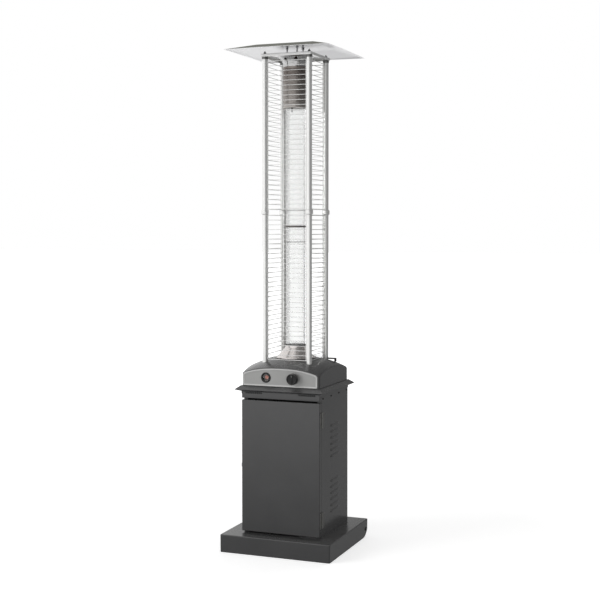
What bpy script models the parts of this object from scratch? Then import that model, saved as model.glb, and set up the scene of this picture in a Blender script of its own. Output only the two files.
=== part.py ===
"""Free-standing gas patio heater with a flame tube behind wire guards.

Metres, +Z up, standing on the plinth's hem with the origin under its middle.
The door and the controls face -Y. A wheeled plinth carries a cabinet for the gas
bottle. A pressed tray closes the cabinet and carries the domed control housing,
the burner and four posts. The posts hold the wire guards and the top plate.
"""
import math

import bmesh
import bpy
from mathutils import Matrix, Vector

# Clearances shared by all fits
seat_gap = 0.0003
cut_overrun = 0.004
fuse_depth = 0.0008

# Main sizes, which carry all others
cabinet_half = 0.1864
plinth_height = 0.0795
cabinet_height = 0.663          # from the plinth's top to the tray's top
post_lower_length = 0.7745      # from the tray to the joint
post_upper_length = 0.705       # from the joint to the top plate
tray_top = plinth_height + cabinet_height
post_joint_z = tray_top + post_lower_length
top_plate_z = post_joint_z + post_upper_length

# Plinth: a folded pan, open below, whose lower rear edge is rounded for tipping
plinth_reach = 0.0746           # beyond the cabinet
plinth_half = cabinet_half + plinth_reach
plinth_sheet = 0.0015
plinth_bend = 0.004
plinth_corner = 0.007
plinth_hem = 0.014
tip_relief_length = 0.0685
tip_relief_height = 0.057

# Wheels on one through axle
wheel_radius = 0.028
wheel_clearance = 0.0075        # under the wheels when the heater stands
axle_inset = 0.0293
axle_y = plinth_half - axle_inset
axle_z = wheel_radius + wheel_clearance
axle_radius = 0.004
axle_head_radius = 0.008
axle_head_length = 0.0035
wheel_width = 0.020
wheel_hub_radius = 0.0095
wheel_hub_width = 0.026
wheel_web_depth = 0.005
wheel_tyre_height = 0.008
wheel_edge = 0.002
spacer_wall = 0.002

# Cabinet shell of three bent panels, with a door and a rail in front
cabinet_sheet = 0.0012
cabinet_bend = 0.003
front_flange = 0.020
rear_flange = 0.016
front_depth = 0.024             # depth of the door and of the rail above it
door_bottom_gap = 0.007
door_top_gap = 0.0075
rail_show = 0.0205              # height of the rail below the tray's lip

# Louvres: six in each group
louvre_length = 0.108
louvre_slot = 0.006
louvre_hood = 0.0045
louvre_hood_sheet = 0.001
louvre_pitch = 0.0276
louvre_rows = 6
louvre_middle = 0.008
louvre_bottom_shares = (0.135, 0.512)      # of the cabinet's height

# Control housing: a pressing with a double-curved top on four arched walls
housing_setback = 0.0014
housing_half = cabinet_half - housing_setback
housing_sheet = 0.0015
housing_wall_height = 0.0555    # at its corners
housing_corner_z = tray_top + housing_wall_height
housing_rise = 0.028
housing_fullness = 2.5
housing_crown_share = 0.25
housing_divisions = 8
housing_throat_radius = 0.079
housing_crown_z = housing_corner_z + housing_rise * (1 + 1 + housing_crown_share)

# Top tray with a V-shaped nose all round
tray_sheet = 0.0012
tray_ledge = 0.0055             # beyond the housing
tray_top_half = housing_half + tray_ledge
nose_reach = 0.0253             # beyond the cabinet
nose_half = cabinet_half + nose_reach
nose_drop = 0.017
nose_z = tray_top - nose_drop
nose_flat = 0.0015
lip_drop = 0.026
lip_height = 0.010
lip_top = tray_top - lip_drop
lip_bottom = lip_top - lip_height
tray_corner = 0.002
comb_pitch = 0.009
comb_slot_width = 0.0045
comb_slot_margin = 0.0015
comb_slots = 9
comb_centre_x = 0.127
hose_hole_radius = 0.019
air_hole_half = 0.060
air_hole_depth = 0.065
air_hole_inset = 0.015          # in front of the housing's rear wall
air_hole_high_y = housing_half - air_hole_inset
air_hole_low_y = air_hole_high_y - air_hole_depth

# Fascia, window and knob
fascia_inset = 0.008
fascia_half = housing_half - fascia_inset
fascia_depth = 0.008
fascia_sheet = 0.002
fascia_rim_width = 0.0065
fascia_rim_height = 0.0015
fascia_margin = 0.0015
fascia_points = 12
control_x = 0.0663
control_height = 0.0405
control_z = tray_top + control_height
window_radius = 0.0235
window_flange = 0.0025
window_flange_width = 0.0075
window_tunnel_radius = window_radius - window_flange_width
window_wall = 0.002
window_glass_thickness = 0.002
knob_radius = 0.025
knob_length = 0.020
knob_step = 0.003
knob_base_radius = knob_radius - knob_step
knob_base_length = 0.004
knob_edge = 0.002
knob_recess = 0.0025
knob_rim = 0.003
knob_grip_width = 0.009
knob_press_travel = 0.004

# Gas valve, pipe, burner, pilot and tilt switch
spindle_radius = 0.004
spindle_bore = 0.010
plunger_radius = 0.007
plunger_length = 0.006
valve_neck_wall = 0.0035
valve_neck_radius = plunger_radius + valve_neck_wall
valve_neck_length = 0.010
valve_width = 0.036
valve_depth = 0.046
valve_height = 0.034
valve_bevel = 0.003
inlet_radius = 0.0075
inlet_length = 0.040
pipe_radius = 0.004
pipe_bend = 0.018
burner_stem_radius = 0.012
burner_foot_radius = 0.032
burner_foot_height = 0.005
burner_head_radius = 0.036
burner_head_height = 0.018
burner_taper = 0.010
burner_rise = 0.029             # above the housing's crown
burner_crown = 0.004
burner_top_z = housing_crown_z + burner_rise
burner_head_z = burner_top_z - burner_head_height
burner_neck_z = burner_head_z - burner_taper
pilot_setback = 0.045           # behind the housing's front
pilot_y = pilot_setback - housing_half
pilot_radius = 0.0055
pilot_reach = 0.0075            # above the window's middle
pilot_top_z = control_z + pilot_reach
pilot_foot = 0.018
pilot_foot_height = 0.0025
switch_size = (0.034, 0.022, 0.026)
switch_place = (-0.062, 0.070)
switch_edge = 0.0015

# Glass in two lengths, and the burner cone below it
glass_radius = 0.043
glass_wall = 0.003
glass_joint_drop = 0.0645       # below the joint of the posts
glass_joint_z = post_joint_z - glass_joint_drop
cone_ledge = 0.0055
cone_base_radius = housing_throat_radius + cone_ledge
cone_flange = 0.008
cone_flange_radius = cone_base_radius + cone_flange
cone_spread = 0.0045
cone_top_radius = glass_radius + cone_spread
cone_flange_height = 0.003
cone_rise = 0.0515              # above the housing's crown
cone_neck = 0.0085
cone_top_z = housing_crown_z + cone_rise
cone_neck_z = cone_top_z - cone_neck
cone_sheet = 0.0015
ring_sheet = 0.002
ring_lip = 0.0045
joint_ring_wall = 0.005
joint_ring_half_height = 0.0035

# Emitter drum, its collar and the top plate
emitter_spread = 0.0135
emitter_radius = glass_radius + emitter_spread
collar_height = 0.052
emitter_height = 0.184
glass_insert = 0.0125           # of the glass into the drum
emitter_top_z = top_plate_z - collar_height
emitter_bottom_z = emitter_top_z - emitter_height
glass_top_z = emitter_bottom_z + glass_insert
emitter_sheet = 0.0012
lid_opening_radius = 0.031
collar_ledge = 0.0065
collar_throat_radius = emitter_radius - collar_ledge
collar_spread = 0.0395
collar_mouth_radius = emitter_radius + collar_spread
collar_rim = 0.008
collar_rim_radius = collar_mouth_radius + collar_rim
collar_sheet = 0.0012
collar_steps = 3
collar_hole_height_share = 0.62
collar_holes = 8
collar_hole_radius = 0.008
top_plate_sheet = 0.0015
top_plate_rim = 0.013
top_plate_corner = 0.006

# Posts in two lengths, joined in a barrel collar that fills the space between the guards
post_clearance = 0.010          # from the collar's mouth to the post's middle
post_offset = collar_mouth_radius + post_clearance
post_radius = 0.0125
post_wall = 0.0015
collar_outer_radius = 0.0172
collar_edge = 0.003
post_stud_radius = 0.003
post_stud_nut_radius = 0.0065
post_stud_rise = 0.0115
post_stud_top = top_plate_z + post_stud_rise
post_nut_height = 0.006
top_plate_margin = 0.015
top_plate_half = post_offset + top_plate_margin

# Wire guards between the posts
guard_wire = 0.0026
guard_rod = 0.0032
guard_wires = 31
guard_joint_gap = 0.027         # between the end wires at the joint
guard_top_drop = 0.032
guard_lower_top = post_joint_z - guard_joint_gap / 2
guard_upper_bottom = post_joint_z + guard_joint_gap / 2
guard_upper_top = top_plate_z - guard_top_drop

# Reflector on three studs
reflector_gap = 0.040           # from the top plate
reflector_drop = 0.032
reflector_flat_z = top_plate_z + reflector_gap
reflector_corner_z = reflector_flat_z - reflector_drop
reflector_edge_half = 0.2445
reflector_flat_half = 0.130
reflector_edge_bow = 0.007
reflector_sheet = 0.0012
reflector_steps = 6
stud_inset = 0.008
stud_circle = collar_throat_radius - stud_inset
stud_radius = 0.003
stud_nut_radius = 0.006
stud_nut_height = 0.0045
stud_rise = 0.008
stud_top = reflector_flat_z + stud_rise
stud_angles = (180, 60, -60)

# Hinges, door pull, magnet catch and guard clip
hinge_height = 0.070
hinge_low_margin = 0.0715       # from the door's bottom to the lower hinge's middle
hinge_high_margin = 0.0785
hinge_leaf = 0.0015
hinge_leaf_width = 0.028
hinge_door_margin = 0.005
hinge_door_leaf_width = front_depth - hinge_door_margin
hinge_knuckle_radius = 0.0036
hinge_pin_radius = 0.0017
hinge_knuckles = 3
knuckle_gap = 0.0004
pull_height = 0.018
pull_depth = 0.010
pull_reach = 0.005
pull_edge = 0.0015
magnet_size = (0.014, 0.012, 0.045)
clip_sheet = 0.002
clip_width = 0.016
clip_reach = 0.036
clip_rise = 0.0028              # above the housing beside the post

# Sides of the round pieces
stud_steps = 6
small_steps = 8
post_steps = 10
round_steps = 16
wide_steps = 20

# Levels and planes that follow from the sizes above
cabinet_bottom = plinth_height + seat_gap
cabinet_top = tray_top - tray_sheet - seat_gap
shell_front = -cabinet_half + front_depth + seat_gap
rail_bottom = lip_bottom - rail_show
door_bottom = plinth_height + door_bottom_gap
door_top = rail_bottom - door_top_gap
hinge_centres = (door_bottom + hinge_low_margin, door_top - hinge_high_margin)
pull_z = (door_bottom + door_top) / 2
lip_half = cabinet_half + seat_gap + tray_sheet
housing_bottom = tray_top + seat_gap
fascia_back_y = -housing_half - seat_gap
fascia_front_y = fascia_back_y - fascia_depth
fascia_field_y = fascia_front_y + fascia_rim_height
housing_inner_y = -housing_half + housing_sheet
glass_bottom_z = cone_top_z + seat_gap + ring_sheet + seat_gap
post_foot_z = tray_top + seat_gap
post_top_z = top_plate_z - top_plate_sheet - seat_gap
collar_half_length = (guard_joint_gap - guard_rod) / 2 - seat_gap
hinge_x = cabinet_half + seat_gap + hinge_knuckle_radius - knuckle_gap / 2
hinge_y = shell_front - seat_gap / 2
stud_foot_z = emitter_top_z - emitter_sheet - seat_gap - stud_nut_height


def clear_scene():
    for item in list(bpy.data.objects):
        bpy.data.objects.remove(item)


def surface(name, colour, roughness, metallic, transmission=0.0):
    """A Principled finish; the colour is given as it looks on screen."""
    finish = bpy.data.materials.new(name)
    finish.use_nodes = True
    shader = finish.node_tree.nodes["Principled BSDF"]
    linear = [channel ** 2.2 for channel in colour]
    shader.inputs["Base Color"].default_value = (*linear, 1.0)
    shader.inputs["Roughness"].default_value = roughness
    shader.inputs["Metallic"].default_value = metallic
    shader.inputs["Transmission Weight"].default_value = transmission
    finish.diffuse_color = (*linear, 1.0)
    return finish


def make_object(name, mesh, finish=None):
    data = bpy.data.meshes.new(name)
    mesh.to_mesh(data)
    mesh.free()
    data.shade_smooth()
    data.set_sharp_from_angle(angle=math.radians(32))
    if finish:
        data.materials.append(finish)
    made = bpy.data.objects.new(name, data)
    bpy.context.collection.objects.link(made)
    return made


def loft(name, loops, finish=None, closed=False):
    """Join like loops of points in order; cap both ends unless the row of loops closes."""
    mesh = bmesh.new()
    rings = [[mesh.verts.new(point) for point in loop] for loop in loops]
    pairs = list(zip(rings, rings[1:]))
    if closed:
        pairs.append((rings[-1], rings[0]))
    for first, second in pairs:
        for index in range(len(first)):
            after = (index + 1) % len(first)
            mesh.faces.new((first[index], first[after], second[after], second[index]))
    if not closed:
        mesh.faces.new(rings[0])
        mesh.faces.new(rings[-1])
    bmesh.ops.recalc_face_normals(mesh, faces=mesh.faces)
    return make_object(name, mesh, finish)


def circle(radius, height, steps, centre=(0, 0)):
    turns = (math.tau * step / steps for step in range(steps))
    return [(centre[0] + radius * math.cos(turn), centre[1] + radius * math.sin(turn), height)
            for turn in turns]


def square(half, height, corner, corner_steps=2):
    """A square loop about the world axis with rounded corners."""
    corner = min(corner, half)
    points = []
    for quarter in range(4):
        start = quarter * math.pi / 2
        centre_x = (half - corner) * (1 if quarter in (0, 3) else -1)
        centre_y = (half - corner) * (1 if quarter in (0, 1) else -1)
        for step in range(corner_steps + 1):
            turn = start + math.pi / 2 * step / corner_steps
            points.append((centre_x + corner * math.cos(turn), centre_y + corner * math.sin(turn), height))
    return points


def turned(name, profile, finish=None, steps=round_steps, closed=False):
    """Turn a profile of radius and height about +Z: solid with end caps, or a closed ring."""
    return loft(name, [circle(radius, height, steps) for radius, height in profile], finish, closed)


def stood(made, place, direction=(0, 0, 1)):
    """Move a piece that was turned about +Z to its place, pointing along a direction."""
    turn = Vector((0, 0, 1)).rotation_difference(Vector(direction)).to_matrix().to_4x4()
    made.matrix_world = Matrix.Translation(place) @ turn
    bpy.context.view_layer.update()
    return made


def prism(name, outline, start, end, axis, finish=None):
    """Extrude a flat outline along X, Y or Z; its points are the other two coordinates in order."""
    def spot(point, along):
        first, second = point
        return {"X": (along, first, second), "Y": (first, along, second), "Z": (first, second, along)}[axis]
    return loft(name, [[spot(point, along) for point in outline] for along in (start, end)], finish)


def block(name, low, high, finish=None, edge=0.0):
    outline = [(low[0], low[1]), (high[0], low[1]), (high[0], high[1]), (low[0], high[1])]
    made = prism(name, outline, low[2], high[2], "Z", finish)
    if edge:
        round_edges(made, edge)
    return made


def round_edges(made, width, segments=1):
    bevel = made.modifiers.new("Rounded edges", "BEVEL")
    bevel.width = width
    bevel.segments = segments
    bevel.limit_method = "ANGLE"
    bevel.angle_limit = math.radians(40)


def settle(made):
    """Keep the evaluated mesh, so that later cuts start from it."""
    bpy.context.view_layer.update()
    view = bpy.context.evaluated_depsgraph_get()
    shaped = bpy.data.meshes.new_from_object(made.evaluated_get(view))
    made.modifiers.clear()
    made.data = shaped
    return made


def merge_flat_faces(data):
    """Join the slivers that a cut leaves in one plane."""
    mesh = bmesh.new()
    mesh.from_mesh(data)
    bmesh.ops.dissolve_limit(mesh, angle_limit=math.radians(0.1), verts=mesh.verts, edges=mesh.edges)
    mesh.to_mesh(data)
    mesh.free()


def carve(made, tools, operation="DIFFERENCE"):
    for tool in tools:
        step = made.modifiers.new(tool.name, "BOOLEAN")
        step.operation = operation
        step.solver = "EXACT"
        step.object = tool
    settle(made)
    for tool in tools:
        bpy.data.objects.remove(tool)
    merge_flat_faces(made.data)
    made.data.shade_smooth()
    made.data.set_sharp_from_angle(angle=math.radians(32))
    return made


def gathered(name, pieces):
    """Put several separate cutters into one object."""
    mesh = bmesh.new()
    for piece in pieces:
        settle(piece)
        part = piece.data.copy()
        part.transform(piece.matrix_world)
        mesh.from_mesh(part)
        bpy.data.meshes.remove(part)
        bpy.data.objects.remove(piece)
    return make_object(name, mesh)


def drill(name, radius, start, end, steps=round_steps):
    """A round cutter between two points, longer than them by the overrun at both ends."""
    start, end = Vector(start), Vector(end)
    way = (end - start).normalized()
    length = (end - start).length + cut_overrun * 2
    cutter = turned(name, [(radius, 0), (radius, length)], steps=steps)
    return stood(cutter, start - way * cut_overrun, way)


def bent(path, radius, steps=3):
    """Round the inner corners of an open flat path."""
    points = [Vector(path[0])]
    for before, corner, after in zip(path, path[1:], path[2:]):
        corner = Vector(corner)
        back = (Vector(before) - corner).normalized()
        ahead = (Vector(after) - corner).normalized()
        reach = radius / math.tan(back.angle(ahead) / 2)
        for step in range(steps + 1):
            share = step / steps
            start, end = corner + back * reach, corner + ahead * reach
            first = start * (1 - share) + corner * share
            second = corner * (1 - share) + end * share
            points.append(first * (1 - share) + second * share)
    points.append(Vector(path[-1]))
    return points


def sheet_outline(path, sheet):
    """Thicken an open flat path to its left by the sheet, as a closed outline."""
    inner = []
    for index, point in enumerate(path):
        before = path[max(index - 1, 0)]
        after = path[min(index + 1, len(path) - 1)]
        arrive = (point - before) if index else (after - point)
        leave = (after - point) if index < len(path) - 1 else arrive
        arrive, leave = arrive.normalized(), leave.normalized()
        normal = Vector((-(arrive + leave).y, (arrive + leave).x)).normalized()
        spread = normal.dot(Vector((-leave.y, leave.x)))
        inner.append(point + normal * sheet / spread)
    return list(path) + inner[::-1]


def pressed_tray(name, low, high, depth, sheet, corner, bend, finish, front_y):
    """A shallow tray that faces -Y and opens to the rear, between two corners in X and Z."""
    centre = ((low[0] + high[0]) / 2, (low[1] + high[1]) / 2)
    half = ((high[0] - low[0]) / 2, (high[1] - low[1]) / 2)

    def ring(inset, back):
        round_corner = max(corner - inset, seat_gap)
        loop = []
        for x, z, _ in square(round_corner, 0, round_corner):
            side_x = 1 if x >= 0 else -1
            side_z = 1 if z >= 0 else -1
            along_x = side_x * (half[0] - inset - round_corner)
            along_z = side_z * (half[1] - inset - round_corner)
            loop.append((centre[0] + along_x + x, front_y + back, centre[1] + along_z + z))
        return loop

    outer = [ring(0, depth), ring(0, bend)]
    outer += [ring(bend * (1 - math.cos(turn)), bend * (1 - math.sin(turn)))
              for turn in (math.pi / 4, math.pi / 2)]
    inner = [ring(bend + sheet, sheet), ring(sheet, bend + sheet), ring(sheet, depth)]
    return loft(name, inner + outer, finish)


def dome_height(x, y):
    """Top of the housing pressing: arched along every wall and fullest in the middle."""
    across = 1 - abs(x / housing_half) ** housing_fullness
    along = 1 - abs(y / housing_half) ** housing_fullness
    return housing_corner_z + housing_rise * (across + along + housing_crown_share * across * along)


def highest_dome(xs, ys):
    return max(dome_height(x, y) for x in xs for y in ys)


def make_plinth(finish):
    sheet, bend = plinth_sheet, plinth_bend

    def ring(inset, height):
        return square(plinth_half - inset, height, max(plinth_corner - inset, sheet))

    loops = [ring(bend, plinth_height - sheet), ring(sheet, plinth_height - bend)]
    loops += [ring(sheet, sheet), ring(plinth_hem, sheet), ring(plinth_hem, 0), ring(0, 0)]
    for step in range(4):
        turn = math.pi / 2 * step / 3
        loops.append(ring(bend * (1 - math.cos(turn)), plinth_height - bend * (1 - math.sin(turn))))
    pan = loft("base_pan", loops, finish)

    start = plinth_half - tip_relief_length
    relief = [(start, -cut_overrun)]
    for step in range(9):
        turn = math.pi / 2 * step / 8
        relief.append((start + tip_relief_length * math.sin(turn),
                       tip_relief_height * (1 - math.cos(turn))))
    relief += [(plinth_half + cut_overrun, tip_relief_height), (plinth_half + cut_overrun, -cut_overrun)]
    reach = plinth_half + cut_overrun
    relief_cutter = prism("Tip relief", relief, -reach, reach, "X")
    hole = drill("Axle holes", axle_radius + seat_gap, (-reach, axle_y, axle_z), (reach, axle_y, axle_z))
    carve(pan, [relief_cutter, hole])


def make_wheels(steel, plastic, rubber):
    """Two wheels run on a fixed axle, kept apart by a tube and held by the skirts."""
    head_x = plinth_half + seat_gap
    hub_outer_x = plinth_half - plinth_sheet - seat_gap
    hub_inner_x = hub_outer_x - wheel_hub_width
    profile = [(axle_radius, -head_x), (axle_radius, head_x + axle_head_length)]
    head = [(axle_head_radius, -head_x - axle_head_length), (axle_head_radius, -head_x)]
    axle = turned("wheel_axle", head + profile, steel, small_steps)
    stood(axle, (0, axle_y, axle_z), (1, 0, 0))

    bore = axle_radius + seat_gap
    inner = [(bore, 0), (axle_head_radius, 0), (axle_head_radius, axle_head_length - seat_gap)]
    cup = [(bore, axle_head_length - seat_gap)]
    cap = turned("axle_cap_right", inner + cup, plastic, small_steps, closed=True)
    stood(cap, (head_x, axle_y, axle_z), (1, 0, 0))

    half, hub = wheel_width / 2, wheel_hub_width / 2
    tread, edge = wheel_radius, wheel_edge
    rim = wheel_radius - wheel_tyre_height
    web = half - wheel_web_depth
    right = [(wheel_hub_radius, web), (wheel_hub_radius, hub), (bore, hub)]
    left = [(bore, -hub), (wheel_hub_radius, -hub), (wheel_hub_radius, -web)]
    outline = left + [(rim, -web), (rim, -half), (tread, edge - half), (tread, half - edge), (rim, half)]
    outline += [(rim, web)] + right
    for side, sign in (("left", -1), ("right", 1)):
        wheel = turned("wheel_" + side, outline, rubber, round_steps, closed=True)
        stood(wheel, (sign * (hub_outer_x + hub_inner_x) / 2, axle_y, axle_z), (1, 0, 0))

    reach = hub_inner_x - seat_gap
    tube = [(bore, -reach), (bore + spacer_wall, -reach), (bore + spacer_wall, reach), (bore, reach)]
    stood(turned("axle_spacer", tube, steel, small_steps, closed=True), (0, axle_y, axle_z), (1, 0, 0))


def louvre_levels():
    bottoms = [plinth_height + cabinet_height * share for share in louvre_bottom_shares]
    return [bottom + row * louvre_pitch for bottom in bottoms for row in range(louvre_rows)]


def make_side_panel(side, finish):
    """A bent panel with flanges at both ends and two groups of hooded louvres."""
    sign = 1 if side == "right" else -1
    outer, rear = cabinet_half, cabinet_half
    path = [(outer - front_flange, shell_front), (outer, shell_front), (outer, rear),
            (outer - rear_flange, rear)]
    outline = sheet_outline(bent([Vector(point) for point in path], cabinet_bend), cabinet_sheet)
    outline = [(sign * x, y) for x, y in outline]
    panel = prism("side_panel_" + side, outline, cabinet_bottom, cabinet_top, "Z", finish)
    face = sign * outer
    hoods, slots = [], []
    near_y, far_y = louvre_middle - louvre_length / 2, louvre_middle + louvre_length / 2
    for z in louvre_levels():
        out, back = face + sign * louvre_hood, face - sign * fuse_depth
        skin = sign * louvre_hood_sheet
        drop, rise = z + louvre_slot, z + louvre_slot * 2
        section = [(back, rise), (back, drop), (out - skin, z), (out, z)]
        hoods.append(prism("Hood", section, near_y, far_y, "Y"))
        near, far = sorted((face + sign * cut_overrun, face - sign * cut_overrun))
        slots.append(block("Slot", (near, near_y + cabinet_sheet, z), (far, far_y - cabinet_sheet, drop)))
    carve(panel, [gathered("Slots", slots)])
    return carve(panel, [gathered("Hoods", hoods)], "UNION")


def make_cabinet(finish):
    """Side panels, a back panel inside their flanges, and the rail over the door."""
    make_side_panel("left", finish)
    make_side_panel("right", finish)
    half = cabinet_half - cabinet_bend - seat_gap
    back_y = cabinet_half - cabinet_sheet - seat_gap
    low, high = (-half, back_y - cabinet_sheet, cabinet_bottom), (half, back_y, cabinet_top)
    back = block("back_panel", low, high, finish)
    slots = []
    reach = louvre_length / 2
    for z in louvre_levels():
        low, high = (-reach, back_y - cut_overrun, z), (reach, back_y + cut_overrun, z + louvre_slot)
        slots.append(block("Slot", low, high))
    carve(back, [gathered("Slots", slots)])
    rail_top = lip_top - tray_sheet - seat_gap
    low, high = (-cabinet_half, rail_bottom), (cabinet_half, rail_top)
    pressed_tray("front_rail", low, high, front_depth, cabinet_sheet, cabinet_bend, cabinet_bend,
                 finish, -cabinet_half)


def make_tray(finish):
    """The pressed tray whose folded edge is the V-shaped moulding round the cabinet."""
    sheet = tray_sheet

    def ring(half, height):
        return square(half, height, tray_corner, 1)

    inner = [(tray_top_half - sheet, tray_top - sheet), (nose_half - sheet * 2, nose_z)]
    inner += [(lip_half - sheet, lip_top - sheet / 2), (lip_half - sheet, lip_bottom)]
    outer = [(lip_half, lip_bottom), (lip_half, lip_top), (nose_half, nose_z - nose_flat / 2)]
    outer += [(nose_half, nose_z + nose_flat / 2), (tray_top_half, tray_top)]
    tray = loft("top_tray", [ring(half, height) for half, height in inner + outer], finish)
    slots = []
    low_z, high_z = lip_bottom + comb_slot_margin, lip_top - comb_slot_margin
    for side in (-1, 1):
        for number in range(comb_slots):
            x = side * comb_centre_x + (number - (comb_slots - 1) / 2) * comb_pitch
            low = (x - comb_slot_width / 2, -lip_half - cut_overrun, low_z)
            high = (x + comb_slot_width / 2, -lip_half + sheet + seat_gap / 2, high_z)
            slots.append(block("Comb slot", low, high))
    below, above = tray_top - sheet, tray_top
    hose = drill("Hose hole", hose_hole_radius, (control_x, valve_y(), below),
                 (control_x, valve_y(), above))
    low = (-air_hole_half, air_hole_low_y, below - cut_overrun)
    high = (air_hole_half, air_hole_high_y, above + cut_overrun)
    air = block("Air opening", low, high)
    carve(tray, [gathered("Comb slots", slots), hose, air])


def valve_y():
    """The middle of the gas valve, which hangs behind the housing's front wall."""
    return housing_inner_y + seat_gap + valve_neck_length / 2 + valve_depth / 2


def make_housing(finish):
    """Sheet pressing: a curved top with its four walls, thickened inwards, then pierced."""
    mesh = bmesh.new()
    count = housing_divisions
    ticks = [housing_half * (2 * step / count - 1) for step in range(count + 1)]
    grid = [[mesh.verts.new((x, y, dome_height(x, y))) for x in ticks] for y in ticks]
    for row in range(count):
        for column in range(count):
            near, far = grid[row], grid[row + 1]
            mesh.faces.new((near[column], near[column + 1], far[column + 1], far[column]))
    border = grid[0][:-1] + [line[-1] for line in grid[:-1]]
    border += grid[-1][:0:-1] + [line[0] for line in grid[:0:-1]]
    feet = [mesh.verts.new((point.co.x, point.co.y, housing_bottom)) for point in border]
    for index in range(len(border)):
        after = (index + 1) % len(border)
        mesh.faces.new((border[after], border[index], feet[index], feet[after]))
    housing = make_object("control_housing", mesh, finish)
    wall = housing.modifiers.new("Wall", "SOLIDIFY")
    wall.thickness = housing_sheet
    wall.offset = -1
    wall.use_even_offset = True
    settle(housing)
    low, high = housing_corner_z, dome_height(0, 0)
    cutters = [drill("Burner throat", housing_throat_radius, (0, 0, low), (0, 0, high), wide_steps)]
    for x in (-post_offset, post_offset):
        for y in (-post_offset, post_offset):
            cutters.append(drill("Post hole", post_radius + seat_gap, (x, y, low), (x, y, high),
                                 post_steps))
    front, inside = -housing_half, housing_inner_y
    sight = window_tunnel_radius + window_wall + seat_gap
    window = drill("Sight hole", sight, (-control_x, front, control_z), (-control_x, inside, control_z))
    neck = drill("Neck hole", valve_neck_radius + seat_gap, (control_x, front, control_z),
                 (control_x, inside, control_z))
    carve(housing, cutters + [window, neck])


def fascia_outline(inset, y):
    """The arched outline of the fascia, following the housing's front arch."""
    half = fascia_half - inset
    low = housing_bottom + fascia_margin + inset
    loop = [(-half, y, low), (half, y, low)]
    for step in range(fascia_points + 1):
        x = half * (1 - 2 * step / fascia_points)
        loop.append((x, y, dome_height(x, housing_half) - fascia_margin - inset))
    return loop


def make_fascia(finish):
    sheet, rim = fascia_sheet, fascia_rim_width
    inner_front = fascia_field_y + sheet
    loops = [fascia_outline(sheet, inner_front), fascia_outline(sheet, fascia_back_y)]
    loops += [fascia_outline(0, fascia_back_y), fascia_outline(0, fascia_front_y + fascia_rim_height)]
    loops += [fascia_outline(fascia_rim_height, fascia_front_y), fascia_outline(rim, fascia_front_y)]
    loops += [fascia_outline(rim + fascia_rim_height, fascia_field_y)]
    plate = loft("control_fascia", loops, finish)
    sight = window_tunnel_radius + window_wall + seat_gap
    start, end = fascia_field_y, inner_front
    window = drill("Sight hole", sight, (-control_x, start, control_z), (-control_x, end, control_z))
    neck = drill("Neck hole", valve_neck_radius + seat_gap, (control_x, start, control_z),
                 (control_x, end, control_z))
    carve(plate, [window, neck])


def make_window(plastic, glass):
    """A black bezel pushed through the fascia, with a sight glass on its inner ledge."""
    bore = window_tunnel_radius
    depth = housing_inner_y - fascia_field_y
    sleeve = bore + window_wall
    front = -window_flange
    ledge = bore - window_wall
    flange_back = -seat_gap
    outline = [(bore, front), (window_radius - window_wall, front),
               (window_radius, front + window_wall / 2)]
    outline += [(window_radius, flange_back), (sleeve, flange_back), (sleeve, depth), (ledge, depth)]
    seat = depth - window_wall
    outline += [(ledge, seat), (bore, seat)]
    bezel = turned("window_bezel", outline, plastic, closed=True)
    stood(bezel, (-control_x, fascia_field_y, control_z), (0, 1, 0))
    face = seat - seat_gap
    disc = [(bore - seat_gap, face - window_glass_thickness), (bore - seat_gap, face)]
    stood(turned("window_glass", disc, glass), (-control_x, fascia_field_y, control_z), (0, 1, 0))


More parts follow.
